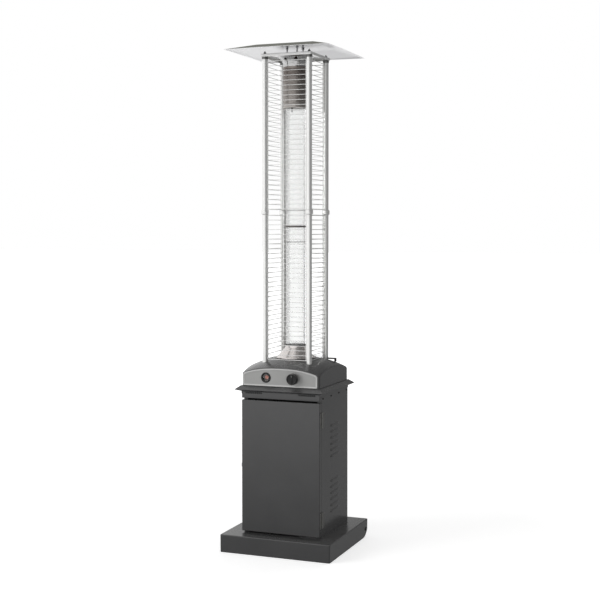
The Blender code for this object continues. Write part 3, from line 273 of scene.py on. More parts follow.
def textured(name, group, values, strength, depth, sockets):
    """A finish from a shared effect, with its relief as a fine bump."""
    finish, tree, shader = new_finish(name)
    look = add_node(tree, "Group", values, node_tree=group).outputs
    bump = add_node(tree, "Bump", {"Height": look["Height"], "Strength": strength, "Distance": depth})
    feed(tree, shader, {"Base Color": look["Colour"], "Roughness": look["Roughness"],
                        "Normal": bump.outputs["Normal"], **sockets})
    return finish


coat_group = coat_texture()


def powder_coat(name, colour, roughness, gloss=0.25, metallic=0.0, dust=0.15):
    """Baked powder coat."""
    values = {"Colour": paint(*colour), "Roughness": roughness, "Dust": dust}
    return textured(name, coat_group, values, 0.25, 0.00012,
                    {"Coat Weight": gloss, "Coat Roughness": 0.14, "Metallic": metallic})


graphite_coat = powder_coat("Graphite powder coat", (0.25, 0.25, 0.252), 0.25, gloss=0.35, dust=0.05)


def lofted(loops, closed=False):
    """Skin like rows of points in order; the ends are capped unless the rows close."""
    count, rows = len(loops[0]), len(loops)
    faces = []
    for row in range(rows if closed else rows - 1):
        start, ahead = row * count, (row + 1) % rows * count
        for index in range(count):
            after = (index + 1) % count
            faces.append((start + index, start + after, ahead + after, ahead + index))
    if not closed:
        faces.append(tuple(range(count - 1, -1, -1)))
        faces.append(tuple(range((rows - 1) * count, rows * count)))
    return [point for loop in loops for point in loop], faces


def arc(centre, radius, start, end, steps):
    """Points on an arc, with angles in degrees."""
    turns = [radians(start + (end - start) * step / steps) for step in range(steps + 1)]
    return [(centre[0] + radius * cos(turn), centre[1] + radius * sin(turn)) for turn in turns]


def rounded(half_x, half_y, corner, steps):
    """A rectangle with round corners, from the one on the plus side both ways."""
    loop = []
    for turn, (x, y) in enumerate(((1, 1), (-1, 1), (-1, -1), (1, -1))):
        spot = (x * (half_x - corner), y * (half_y - corner))
        loop += arc(spot, corner, 90 * turn, 90 * turn + 90, steps)
    return loop


def bent(radius, steps):
    """Insets and drops round a bend, from its upright side to its level top."""
    turns = [pi / 2 * step / steps for step in range(steps + 1)]
    return [(radius * (1 - cos(turn)), radius * (1 - sin(turn))) for turn in turns]


def relief(y):
    """Height to which the skirt is cut back at this distance to the rear."""
    share = (y - plinth_half + relief_length) / relief_length
    return relief_height * (1 - sqrt(max(0, 1 - share * share))) if share > 0 else 0.0


def skirt_ring(inset, height, hem=0.0):
    """The plinth's outline at an inset, held above the cut-back edge; a hem ends at the cut."""
    edge = plinth_half - inset
    cut = [plinth_half - plinth_corner - relief_length * (1 - step / relief_cuts)
           for step in range(relief_cuts)]
    loop = rounded(edge, edge, plinth_corner - inset, 8)
    loop = loop[:18] + [(-edge, y) for y in cut[::-1]] + loop[18:] + [(edge, y) for y in cut]
    ring = []
    for x, y in loop:
        if hem:
            keep = max(0.0, min(1.0, (plinth_half - relief_length - y) / hem_taper))
            x, y = (max(-1, min(1, value / edge)) * (edge - hem * keep) for value in (x, y))
        ring.append((x, y, max(height, relief(y) + height * 0.1)))
    return ring


def flat_looking(piece):
    """Let the large faces set the shading, so that flat sheet looks flat up to its bends."""
    piece.modifiers.new("Flat faces", "WEIGHTED_NORMAL").keep_sharp = True
    return piece


def fit(piece, replaced=None, body="stand"):
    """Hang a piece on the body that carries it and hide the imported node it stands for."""
    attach(piece, body)
    if replaced:
        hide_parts(replaced)


plinth_rows = [skirt_ring(*values) for values in (
    (plinth_bend, plinth_height - plinth_sheet), (plinth_sheet, plinth_height - plinth_bend),
    (plinth_sheet, plinth_sheet), (plinth_sheet, plinth_sheet, plinth_hem),
    (plinth_sheet, 0.0003, plinth_hem), (0.0004, 0))]
plinth_rows += [skirt_ring(inset, plinth_height - drop) for inset, drop in bent(plinth_bend, 6)]
fit(flat_looking(add_piece("plinth", [lofted(plinth_rows)], graphite_coat)), "base_pan")


# Wheels and axle
# Two small wheels with rubber tyres on moulded hubs, on a zinc-plated axle that passes
# through both skirts; a tube keeps them apart and a push-on cap holds the free end.
wheel_low, wheel_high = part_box("wheel_left")
axle_place = (0, (wheel_low.y + wheel_high.y) / 2, 0.0355)
axle_radius = 0.004
axle_head = 0.008
bore = axle_radius + 0.0003
wheel_radius = 0.028
tyre_height = 0.0075
tyre_half = 0.010
shoulder = 0.0035
groove_pitch = 0.0035
hub_half = 0.013
hub_radius = 0.0095
web_half = 0.003
spoke_count = 8
spoke_half = 0.0011
along_x = (1, 0, 0)
fine_grain = (240.0, 240.0, 240.0)


def round_ring(radius, height, steps):
    turns = [tau * step / steps for step in range(steps)]
    return [(radius * cos(turn), radius * sin(turn), height) for turn in turns]


def moved(shape, place, axis=(0, 0, 1), spin=0.0):
    """Stand a shape at a place with its Z along an axis."""
    stand = Vector(axis).to_track_quat("Z", "Y").to_matrix().to_4x4()
    way = Matrix.Translation(place) @ stand @ Matrix.Rotation(spin, 4, "Z")
    points, faces = shape
    return [tuple(way @ Vector(point)) for point in points], faces


def turned(profile, steps=64, place=(0, 0, 0), axis=(0, 0, 1), closed=True):
    """Turn (radius, height) pairs about an axis at a place; an open profile gets flat ends."""
    return moved(lofted([round_ring(*pair, steps) for pair in profile], closed), place, axis)


def hoop(inner, outer, low, high):
    """The profile of a plain ring."""
    return [(inner, low), (outer, low), (outer, high), (inner, high)]


def both_ways(half):
    """A profile from its upper half, which starts at the bore."""
    return [(radius, -height) for radius, height in half] + half[::-1]


def brick(low, high):
    """A plain block between two corners, for ribs, slots and cutters."""
    (x0, y0, z0), (x1, y1, z1) = low, high
    return lofted([[(x0, y0, z), (x1, y0, z), (x1, y1, z), (x0, y1, z)] for z in (z0, z1)])


def grain_texture():
    """Fine lines drawn along one way of the metal, with soft clouding across them."""
    group, given, out = new_group(
        "Drawn grain", {"Colour": (0.7, 0.7, 0.7, 1), "Roughness": 0.3, "Stretch": (900.0, 900.0, 14.0),
                        "Contrast": 0.12}, ("Colour", "Roughness", "Height"))
    place = add_node(group, "TexCoord").outputs["Object"]
    drawn = add_node(group, "VectorMath", {0: place, 1: given["Stretch"]}, operation="MULTIPLY")
    lines = noise(group, drawn.outputs["Vector"], 1.0, 3.0)
    both = number_node(group, "ADD", lines, noise(group, place, 11.0, 3.0))
    share = number_node(group, "MULTIPLY", number_node(group, "MULTIPLY", both, 0.5), given["Contrast"])
    feed(group, out, {"Colour": blended(group, share, given["Colour"], black),
                      "Roughness": number_node(group, "ADD", given["Roughness"], share), "Height": lines})
    return group


grain_group = grain_texture()


def bare_metal(name, colour, roughness, stretch=(900.0, 900.0, 14.0), contrast=0.14, metallic=1.0):
    """Uncoated metal with the grain of its rolling or drawing."""
    values = {"Colour": paint(*colour), "Roughness": roughness, "Stretch": stretch, "Contrast": contrast}
    return textured(name, grain_group, values, 0.12, 0.00005, {"Metallic": metallic})


def moulded(name, colour, roughness, peel_scale=1400.0, dust=0.25):
    """Moulded plastic or rubber with a fine spark-eroded texture."""
    values = {"Colour": paint(*colour), "Roughness": roughness, "Peel Scale": peel_scale, "Dust": dust}
    return textured(name, coat_group, values, 0.3, 0.00008, {"Specular IOR Level": 0.35})


tyre_rubber = moulded("Tyre rubber", (0.13, 0.13, 0.13), 0.75, 900.0, 0.5)
black_plastic = moulded("Black moulded plastic", (0.08, 0.08, 0.085), 0.38)
zinc_plate = bare_metal("Zinc plate", (0.74, 0.74, 0.75), 0.34, fine_grain, 0.22)

tyre_rim = wheel_radius - tyre_height
rim_in = tyre_rim - 0.0022
tyre_path = [(tyre_rim, -tyre_half), *arc((wheel_radius - shoulder, shoulder - tyre_half), shoulder, -90, 0, 6)]
for groove in (-groove_pitch, 0.0, groove_pitch):
    tyre_path += [(wheel_radius - depth, groove + z) for depth, z in
                  ((0, -0.0007), (0.001, -0.0004), (0.001, 0.0004), (0, 0.0007))]
tyre_path += [*arc((wheel_radius - shoulder, tyre_half - shoulder), shoulder, 0, 90, 6), (tyre_rim, tyre_half)]
hub_path = both_ways([(bore, hub_half), (hub_radius - 0.001, hub_half), (hub_radius, hub_half - 0.001),
                      (hub_radius, web_half), (rim_in, web_half), (rim_in, tyre_half - 0.0006),
                      (tyre_rim - 0.0002, tyre_half - 0.0006)])
for body in ("wheel_left", "wheel_right"):
    middle = (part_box(body)[0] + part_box(body)[1]) / 2
    ribs = [moved(brick((hub_radius - 0.0005, -spoke_half, low), (rim_in + 0.0005, spoke_half, high)), middle,
                  along_x, tau * number / spoke_count) for number in range(spoke_count)
            for low, high in ((web_half - 0.0005, tyre_half - 0.0015), (0.0015 - tyre_half, 0.0005 - web_half))]
    tyre = add_piece(body + "_tyre", [turned(tyre_path, 72, middle, along_x)], tyre_rubber)
    hub = add_piece(body + "_hub", [turned(hub_path, 72, middle, along_x), *ribs], black_plastic)
    fit(tyre, body, body)
    fit(hub, body, body)

axle_low, axle_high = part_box("wheel_axle")
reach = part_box("axle_spacer")[1].x
cap_low, cap_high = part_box("axle_cap_right")
head_x = -plinth_half - 0.0003
axle_path = [(axle_head - 0.0005, axle_low.x), (axle_head, axle_low.x + 0.0008), (axle_head, head_x),
             (axle_radius, head_x), (axle_radius, axle_high.x - 0.0006), (axle_radius - 0.0006, axle_high.x)]
cap_path = [(bore, cap_low.x), (axle_head, cap_low.x), (axle_head, cap_high.x - 0.0014),
            (axle_head - 0.0014, cap_high.x), (bore, cap_high.x)]
for name, path, finish, slot, node in (
        ("axle", axle_path, zinc_plate, "zinc_steel", "wheel_axle"),
        ("axle_spacer_tube", hoop(bore, bore + 0.002, -reach, reach), zinc_plate, "zinc_steel", "axle_spacer"),
        ("axle_cap", cap_path, black_plastic, "black_plastic", "axle_cap_right")):
    shape = turned(path, 40, axle_place, along_x, closed=name != "axle")
    fit(add_piece(name, [shape], finish), node)


# Side panels
# Bent steel sheets with a flange at each end. Two groups of six louvres are lanced and
# pressed outwards, each open along its lower edge; four screws hold each sheet's top.
panel_low, panel_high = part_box("side_panel_right")
cabinet_half = panel_high.y
shell_front = panel_low.y
panel_sheet = 0.0012
panel_bend = 0.003
front_flange, rear_flange = 0.020, 0.016
louvre_middle = 0.008
louvre_half = 0.054
louvre_height = 0.012
louvre_reach = 0.0044
louvre_pitch = 0.0276
louvre_levels = [start + row * louvre_pitch for start in (0.169, 0.419) for row in range(6)]
side_screw_z = 0.6955
side_screws_y = (-0.144, -0.040, 0.064, 0.168)


def louvre_swell(y, share):
    """How far a louvre stands out at this place along it and this share of its height."""
    along = min(1, abs(y - louvre_middle) / louvre_half)
    return louvre_reach * sqrt(1 - along ** 6) * cos(share * pi / 2) ** 0.8


def panel_shape(side):
    """The panel as a fine grid round its bends, split open under every louvre."""
    corner = cabinet_half - panel_bend
    path = [(cabinet_half - front_flange, shell_front),
            *arc((corner, shell_front + panel_bend), panel_bend, -90, 0, 6),
            *((cabinet_half, louvre_middle + louvre_half * (step / 18 - 1)) for step in range(37)),
            *arc((corner, corner), panel_bend, 0, 90, 6), (cabinet_half - rear_flange, cabinet_half)]
    rows = [(panel_low.z, 1)]
    for z in louvre_levels:
        rows += [(z, 1)] + [(z + louvre_height * step / 7, step / 7) for step in range(8)]
    rows.append((panel_high.z, 1))
    width = len(path)
    firsts = [row * width + column for row in range(len(rows) - 1) if rows[row + 1][1]
              for column in range(width - 1)]
    return ([(side * (x + louvre_swell(y, share)), y, z) for z, share in rows for x, y in path],
            [(first, first + 1, first + 1 + width, first + width) for first in firsts])


def kept(piece, smooth_angle=32):
    """Keep the mesh as the piece's modifiers leave it."""
    bpy.context.view_layer.update()
    shaped = piece.evaluated_get(bpy.context.evaluated_depsgraph_get())
    data = bpy.data.meshes.new_from_object(shaped)
    piece.modifiers.clear()
    piece.data = data
    return smoothed(piece, smooth_angle)


def thickened(piece, sheet, outward=-1, smooth_angle=32):
    wall = piece.modifiers.new("Sheet", "SOLIDIFY")
    wall.thickness = sheet
    wall.offset = outward
    wall.use_even_offset = True
    return kept(piece, smooth_angle)


def screw_shape(place, axis, radius=0.0042, spin=0.4):
    """A pan-head screw with a crossed recess."""
    height = radius * 0.55
    rows = [round_ring(radius * size, height * level, 32) for size, level in
            ((1, 0), (1, 0.35), (0.9, 0.72), (0.66, 0.94), (0.55, 1), (0.34, 1))]
    arms = [0.30 if step % 8 in (7, 0, 1) else 0.11 for step in range(32)]
    rows.append([(x * arm, y * arm, z) for (x, y, z), arm in zip(round_ring(radius, height * 0.55, 32), arms)])
    return moved(lofted(rows), place, axis, spin)


dark_zinc = bare_metal("Blackened zinc", (0.20, 0.20, 0.20), 0.42, fine_grain, 0.25)
for side, sign in (("left", -1), ("right", 1)):
    panel = add_piece("cabinet_side_" + side, [panel_shape(sign)], graphite_coat, merge=0.00001)
    fit(flat_looking(thickened(panel, panel_sheet)), "side_panel_" + side)
    heads = [screw_shape((sign * cabinet_half, y, side_screw_z), (sign, 0, 0), spin=y * 9)
             for y in side_screws_y]
    fit(add_piece("side_screws_" + side, heads, dark_zinc))


# Back panel and front rail
# A flat sheet with plain vent slots closes the rear inside the side panels' flanges, held
# by ten screws, and a short folded rail closes the front between the door and the tray.
back_low, back_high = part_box("back_panel")
vent_half = 0.054
vent_height = 0.006
rear_screw_x = 0.176
rear_screw_levels = (0.10, 0.25, 0.40, 0.55, 0.70)


def cut_by(piece, cutters, smooth_angle=32):
    """Cut shapes out of a piece."""
    tool = add_piece("cutter", cutters, piece.data.materials[0])
    knife = piece.modifiers.new("Cut", "BOOLEAN")
    knife.operation = "DIFFERENCE"
    knife.solver = "EXACT"
    knife.object = tool
    kept(piece, smooth_angle)
    bpy.data.objects.remove(tool)
    return piece


def slot_shape(half, height, z, near, far):
    """A round-ended slot through a sheet that faces along Y."""
    radius = height / 2
    outline = [spot for side, start in ((1, -90), (-1, 90))
               for spot in arc((side * (half - radius), z + radius), radius, start, start + 180, 10)]
    return lofted([[(x, y, level) for x, level in outline] for y in (near, far)])


def folded_tray(node):
    """A shallow tray of folded sheet that fills a node's box and faces -Y."""
    low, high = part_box(node)
    middle, half = (low + high) / 2, (high - low) / 2
    sheet, bend, depth = panel_sheet, panel_bend, high.y - low.y

    def ring(inset, back):
        corners = rounded(half.x - inset, half.z - inset, max(bend - inset, 0.0003), 6)
        return [(middle.x + x, low.y + back, middle.z + z) for x, z in corners]

    inner = ((bend + sheet, sheet), (sheet * 1.3, sheet * 1.3), (sheet, bend + sheet), (sheet, depth))
    return lofted([ring(*values) for values in (*inner, (0, depth), *bent(bend, 7))])


back_panel = add_piece("cabinet_back", [brick(back_low, back_high)], graphite_coat)
cut_by(back_panel, [slot_shape(vent_half, vent_height, z, back_low.y - 0.002, back_high.y + 0.002)
                    for z in louvre_levels])
rail = add_piece("cabinet_rail", [folded_tray("front_rail")], graphite_coat)
fit(flat_looking(back_panel), "back_panel")
fit(flat_looking(rail), "front_rail")
rear_heads = [screw_shape((side * rear_screw_x, cabinet_half, z), (0, 1, 0), spin=z * 7)
              for side in (-1, 1) for z in rear_screw_levels]
fit(add_piece("rear_screws", rear_heads, dark_zinc))


# Top tray
# One pressed sheet closes the cabinet. Its edge is folded to a sharp nose all round and
# ends in a lip, pierced in front with two combs of upright air slots.
tray_low, tray_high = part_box("top_tray")
tray_top = tray_high.z
tray_sheet = 0.0012
nose_half = tray_high.x
tray_top_half = 0.1905
lip_half = cabinet_half + 0.0003 + tray_sheet
tray_corner = 0.0022
tray_fold = 0.0016
nose_z = 0.7255
lip_top = 0.7165
comb_centre = 0.127
comb_pitch = 0.009
comb_half = 0.0028
comb_slots = 9
comb_low, comb_high = 0.7074, 0.7151
hose_radius = 0.019
air_half = 0.060
air_front, air_rear = 0.105, 0.170


def eased(path, radius, steps=5):
    """Round the inner corners of an open path."""
    points = [tuple(path[0])]
    for before, corner, after in zip(path, path[1:], path[2:]):
        corner = Vector(corner)
        back, ahead = Vector(before) - corner, Vector(after) - corner
        start = corner + back.normalized() * min(radius, back.length * 0.45)
        end = corner + ahead.normalized() * min(radius, ahead.length * 0.45)
        for share in (step / steps for step in range(steps + 1)):
            points.append(tuple(start.lerp(corner, share).lerp(corner.lerp(end, share), share)))
    return points + [tuple(path[-1])]


def square_ring(half, z, corner, steps=6):
    return [(x, y, z) for x, y in rounded(half, half, corner, steps)]


def open_skin(loops, cap=False):
    """Skin rows of points with both ends open, or with the last one capped."""
    points, faces = lofted(loops)
    return points, faces[:-2] + (faces[-1:] if cap else [])


def rod_shape(start, end, radius, steps=10):
    way = Vector(end) - Vector(start)
    return turned([(radius, 0), (radius, way.length)], steps, start, way, closed=False)


tray_path = [(lip_half, tray_low.z), (lip_half, lip_top), (nose_half, nose_z - 0.0006),
             (nose_half, nose_z + 0.0006), (tray_top_half, tray_top), (tray_top_half - 0.012, tray_top)]
tray_rows = [square_ring(half, z, tray_corner) for half, z in eased(tray_path, tray_fold)]
tray = thickened(add_piece("tray", [open_skin(tray_rows, cap=True)], graphite_coat), tray_sheet)
comb_places = [side * comb_centre + (number - (comb_slots - 1) / 2) * comb_pitch
               for side in (-1, 1) for number in range(comb_slots)]
combs = [brick((x - comb_half, -lip_half - 0.003, comb_low), (x + comb_half, -lip_half + 0.005, comb_high))
         for x in comb_places]
hose_place = (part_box("gas_valve")[0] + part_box("gas_valve")[1]) / 2
hose_place.z = tray_top
through = Vector((0, 0, 0.004))
hose_hole = rod_shape(hose_place - through, hose_place + through, hose_radius, 48)
air_hole = brick((-air_half, air_front, tray_top - 0.005), (air_half, air_rear, tray_top + 0.005))
cut_by(tray, combs + [hose_hole, air_hole])
cut_by(rail, combs)
fit(flat_looking(tray), "top_tray")


# Control housing
# A double-curved pressing over the controls: four arched walls run into a crowned top,
# with a round throat for the burner and a hole for each post.
housing_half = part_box("control_housing")[1].x
housing_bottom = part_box("control_housing")[0].z
housing_sheet = 0.0015
housing_corner_z = tray_top + 0.0555
housing_rise = 0.028
housing_edge = 0.0055
housing_corner = 0.009
wall_top_drop = 0.014
throat_radius = 0.079
post_place = 0.106
post_radius = 0.0125
post_hole_ends = (0.78, 0.88)
post_corners = [(x, y) for x in (-post_place, post_place) for y in (-post_place, post_place)]
control_x = 0.0663
control_z = 0.783
sight_radius = 0.0185
neck_radius = 0.011


def dome_height(x, y):
    """Top of the pressing, arched along every wall and fullest in the middle."""
    across, along = (1 - abs(value / housing_half) ** 2.5 for value in (x, y))
    return housing_corner_z + housing_rise * (across + along + 0.25 * across * along)


def drawn_in(half, corner, cuts, hole, share):
    """A square with round corners and cut sides, at a share of the way out from a hole."""
    square = [Vector(spot) for spot in square_ring(half, 0, corner, 8)]
    spots = []
    for first, second in zip(square, square[1:] + square[:1]):
        count = cuts if (second - first).length > 0.05 else 1
        spots += [first.lerp(second, cut / count) for cut in range(count)]
    return [(spot.normalized() * hole).lerp(spot, share) for spot in spots]


def dome_ring(inset, sink=0.0, share=1.0, level=None):
    """A ring between the throat and the outer edge of the pressing."""
    spots = drawn_in(housing_half - inset, max(housing_corner - inset, 0.002), 22, throat_radius, share)
    return [(spot.x, spot.y, dome_height(spot.x, spot.y) - sink if level is None else level) for spot in spots]


def control_holes(y):
    """Cutters for the window and the knob's neck through a wall."""
    return [rod_shape((x, y - 0.02, control_z), (x, y + 0.02, control_z), radius, steps)
            for x, radius, steps in ((-control_x, sight_radius, 48), (control_x, neck_radius, 40))]


dome_rows = [dome_ring(housing_edge, share=step / 20) for step in range(21)]
dome_rows += [dome_ring(inset, drop) for drop, inset in bent(housing_edge, 6)[1:]]
dome_rows += [dome_ring(0, level=z) for z in (housing_corner_z - wall_top_drop, housing_bottom)]
housing = thickened(add_piece("control_dome", [open_skin(dome_rows)], graphite_coat, 40), housing_sheet,
                    smooth_angle=40)
post_holes = [rod_shape(*((x, y, z) for z in post_hole_ends), post_radius + 0.0003, 40)
              for x, y in post_corners]
cut_by(housing, post_holes + control_holes(-housing_half), 40)
fit(flat_looking(housing), "control_housing")


# Control fascia
# A silver-painted pressed plate on the housing's front wall. It follows the arch and has
# a raised rim all round.
fascia_low, fascia_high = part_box("control_fascia")
fascia_half = fascia_high.x
fascia_front = fascia_low.y
fascia_back = fascia_high.y
fascia_rim = 0.0065
rim_height = 0.0015
fascia_margin = 0.0015
fascia_corner = 0.0045
arch_points = 56


def fascia_ring(inset, y):
    half = fascia_half - inset
    low = housing_bottom + fascia_margin + inset
    corner = max(fascia_corner - inset * 0.4, 0.001)
    loop = [spot for side, start in ((-1, 180), (1, 270))
            for spot in arc((side * (half - corner), low + corner), corner, start, start + 90, 6)]
    for x in (half * (1 - 2 * step / arch_points) for step in range(arch_points + 1)):
        edge = corner * (1 - sqrt(max(0, 1 - max(0, 1 - (half - abs(x)) / corner) ** 2)))
        loop.append((x, dome_height(x, housing_half) - fascia_margin - inset - edge))
    return [(x, y, z) for x, z in loop]


silver_coat = powder_coat("Silver fascia coat", (0.605, 0.605, 0.60), 0.36, 0.12, 0.3, 0.06)
field_y = fascia_front + rim_height
fascia_path = [(0.002, field_y + 0.002), (0.002, fascia_back), (0.0, fascia_back), (0.0, fascia_front + 0.0012),
               (0.0012, fascia_front), (fascia_rim - 0.0012, fascia_front), (fascia_rim + 0.0006, field_y),
               (fascia_rim + 0.006, field_y)]
fascia_rows = [fascia_ring(inset, y) for inset, y in eased(fascia_path, 0.0007, 3)]
fascia = add_piece("fascia", [lofted(fascia_rows)], silver_coat)
# The raised rim takes a lighter copy of the silver coat: a painted highlight along the rim.
fascia.data.materials.append(powder_coat("Silver coat painted rim highlight", (0.74, 0.74, 0.735), 0.3, 0.2, 0.3))
for face in fascia.data.polygons:
    face.material_index = int(face.center.y < field_y - 0.0001)
fit(cut_by(fascia, control_holes(field_y)), "control_fascia")


# Sight window
# A black bezel is pushed through the fascia. The pilot's copper shield and its electrode
# stand in a black shroud behind a sight glass on the bezel's inner ledge. The shield's faint
# glow is painted light, and the shroud's near-black is painted shade behind the glass.
bezel_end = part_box("window_bezel")[1].y
bezel_depth = bezel_end - field_y
sight_middle = (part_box("window_glass")[0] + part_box("window_glass")[1]) / 2
lens_radius = 0.0157
lens_half = Vector((0, 0.001, 0))
painted_shield_glow = 0.10
even_grain = (150.0, 150.0, 150.0)
along_y = (0, 1, 0)


def clear_glass(name, tint, roughness=0.0, sooted=0.0):
    """Heat-proof glass, a little clouded where it has been hot."""
    finish, tree, shader = new_finish(name)
    haze = noise(tree, add_node(tree, "TexCoord").outputs["Object"], 9.0, 3.0)
    clouded = tuple(channel * (1 - sooted) for channel in tint[:3]) + (1,)
    rough = number_node(tree, "ADD", number_node(tree, "MULTIPLY", haze, 0.02), roughness)
    feed(tree, shader, {"Base Color": blended(tree, haze, tint, clouded), "Roughness": rough,
                        "Transmission Weight": 1.0, "IOR": 1.47})
    return finish


# The shield's copper carries a faint emission: a painted glow, not a lamp.
shield_copper = bare_metal("Pilot shield copper with painted glow", (0.74, 0.47, 0.42), 0.35, even_grain, 0.25, 0.6)
feed(shield_copper.node_tree, shield_copper.node_tree.nodes["Principled BSDF"],
     {"Emission Color": paint(0.70, 0.40, 0.33), "Emission Strength": painted_shield_glow})
bezel_path = [(0.016, 0.0), (0.0180, -0.0022), (0.0212, -0.0025), (0.0235, -0.0012), (0.0235, -0.0003),
              (0.018, -0.0003), (0.018, bezel_depth), (0.014, bezel_depth), (0.014, bezel_depth - 0.002),
              (0.016, bezel_depth - 0.002)]
dish = [(0.0004, 0.0040), (0.004, 0.0035), (0.007, 0.0021), (0.0088, 0.0), (0.0088, -0.0006), (0.007, 0.0014),
        (0.004, 0.0028), (0.0004, 0.0033)]
cup = [(0.0135, 0.0004), (0.0140, 0.0004), (0.0140, 0.0094), (0.0004, 0.0094), (0.0004, 0.0090),
       (0.0135, 0.0090)]
for name, shape, finish, slot, node in (
        ("window_ring", turned(eased(bezel_path, 0.0006, 3), 72, (-control_x, field_y, control_z), along_y),
         black_plastic, "black_plastic", "window_bezel"),
        ("sight_glass", rod_shape(sight_middle - lens_half, sight_middle + lens_half, lens_radius, 72),
         clear_glass("Sight glass", (0.96, 0.93, 0.90, 1)), "sight_glass", "window_glass"),
        ("pilot_shield", turned(dish, 48, (-control_x, bezel_end + 0.004, control_z), along_y),
         shield_copper, "pipe_copper", None),
        # The shroud's near-black moulding is painted shade behind the sight glass.
        ("sight_shroud", turned(cup, 48, (-control_x, bezel_end, control_z), along_y),
         moulded("Sight shroud painted shade", (0.05, 0.05, 0.05), 0.7, 400.0, 0.05), "black_plastic", None),
        ("pilot_electrode", rod_shape((-control_x + 0.0035, bezel_end + 0.0045, control_z - 0.009),
                                      (-control_x + 0.0075, bezel_end + 0.0015, control_z - 0.001), 0.0013, 12),
         moulded("Electrode ceramic", (0.60, 0.52, 0.45), 0.35, 300.0, 0.0), "pipe_copper", None)):
    fit(add_piece(name, [shape], finish), node)


# Control knob
# A round moulded knob with a raised grip bar and a pointer line. It is pressed in and
# turned on the valve's spindle.
knob_low, knob_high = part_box("control_knob")
knob_place = (control_x, knob_high.y, control_z)
knob_reach = knob_high.y - knob_low.y
grip_half_wide = 0.0045
grip_half_long = 0.0197
pointer_half = 0.0007
pointer_low, pointer_high = 0.008, 0.0175
knob_path = [(0.0043, 0.0), (0.022, 0.0), (0.022, 0.004), (0.025, 0.006), (0.0245, knob_reach - 0.002),
             (0.0228, knob_reach), (0.0205, knob_reach), (0.0190, knob_reach - 0.0025),
             (0.0043, knob_reach - 0.0025)]


def grip_bar():
    """The bar across the knob, with rounded edges and slightly waisted sides."""
    rows = []
    for depth, shrink in ((0.006, 0.0), (0.0012, 0.0), (0.0004, 0.0006), (0.0001, 0.0014)):
        ring = []
        for x, y, level in round_ring(1, knob_reach - depth, 40):
            wide = (grip_half_wide - shrink) * abs(x) ** 0.35 * copysign(1, x)
            long = (grip_half_long - shrink) * abs(y) ** 0.5 * copysign(1, y)
            ring.append((wide * (0.86 + 0.14 * (y * y)), long, level))
        rows.append(ring)
    return lofted(rows)


knob_shapes = [turned(eased(knob_path, 0.0009, 4), 80, knob_place, (0, -1, 0)),
               moved(grip_bar(), knob_place, (0, -1, 0))]
pointer_line = brick((control_x - pointer_half, knob_low.y - 0.00005, control_z + pointer_low),
                     (control_x + pointer_half, knob_low.y + 0.0006, control_z + pointer_high))
pointer_paint = moulded("Pointer paint", (0.62, 0.62, 0.61), 0.5, 800.0, 0.0)
fit(add_piece("knob", knob_shapes, black_plastic), "control_knob", "knob")
fit(add_piece("knob_pointer", [pointer_line], pointer_paint), "control_knob", "knob")


# Valve, gas pipe, burner, pilot and tilt switch
# The brass valve hangs behind the fascia and feeds the cast-iron burner through a copper
# pipe. The pilot stands behind the window, the tilt switch on the tray.
def refinish(node, finish, edge=0.0004):
    """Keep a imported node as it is, with its edges eased and its own finish."""
    piece = nodes[node]
    layer = piece.data.attributes.get("custom_normal")
    if layer:
        piece.data.attributes.remove(layer)
    piece.data.materials.clear()
    piece.data.materials.append(finish)
    piece.data.shade_smooth()
    piece.modifiers.new("Join", "WELD").merge_threshold = 0.00002
    round_off = piece.modifiers.new("Edges", "BEVEL")
    round_off.width = edge
    round_off.segments = 2
    round_off.limit_method = "ANGLE"
    round_off.angle_limit = radians(30)
    round_off.harden_normals = True
    return piece


valve_brass = bare_metal("Valve brass", (0.78, 0.66, 0.40), 0.32, (180.0, 180.0, 180.0), 0.25)
pipe_copper = bare_metal("Pipe copper", (0.76, 0.47, 0.34), 0.28, (160.0, 160.0, 160.0), 0.3)
cast_iron = moulded("Cast burner iron", (0.27, 0.25, 0.24), 0.62, 420.0, 0.1)
for node, finish, slot, edge in (
        ("gas_valve", valve_brass, "valve_brass", 0.0004),
        ("valve_spindle", valve_brass, "valve_brass", 0.0003),
        ("valve_plunger", zinc_plate, "zinc_steel", 0.0003), ("gas_pipe", pipe_copper, "pipe_copper", 0.0002),
        ("pilot_burner", pipe_copper, "pipe_copper", 0.0003), ("burner", cast_iron, "burner_iron", 0.0008),
        ("tilt_switch", black_plastic, "black_plastic", 0.0004)):
    refinish(node, finish, edge)


# Burner cone
# A spun stainless funnel stands on the housing's crown and carries the glass. The heat
# has browned it a little.
cone_low, cone_high = (corner.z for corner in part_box("burner_cone"))
cone_sheet = 0.0015
flange_radius = 0.0925
cone_foot_radius = 0.0845
cone_top_radius = 0.0475
cone_in = cone_top_radius - cone_sheet


def tint_texture():
    """Brown and blue-grey tints that heat leaves on steel between two heights."""
    group, given, out = new_group(
        "Heat tint", {"Colour": (0.7, 0.7, 0.7, 1), "Tint": (0.2, 0.12, 0.07, 1), "Low": 0.0, "High": 1.0,
                      "Amount": 0.6}, ("Colour", "Mask"))
    place = add_node(group, "TexCoord").outputs["Object"]
    height = add_node(group, "SeparateXYZ", {"Vector": place}).outputs["Z"]
    rise = number_node(group, "SUBTRACT", height, given["Low"])
    span = number_node(group, "SUBTRACT", given["High"], given["Low"])
    share = number_node(group, "DIVIDE", rise, span, clamp=True)
    wave = number_node(group, "MULTIPLY", noise(group, place, 16.0, 4.0), share)
    full = number_node(group, "MULTIPLY", wave, 2.0, clamp=True)
    mask = number_node(group, "MULTIPLY", full, given["Amount"])
    feed(group, out, {"Colour": blended(group, mask, given["Colour"], given["Tint"]), "Mask": mask})
    return group


tint_group = tint_texture()


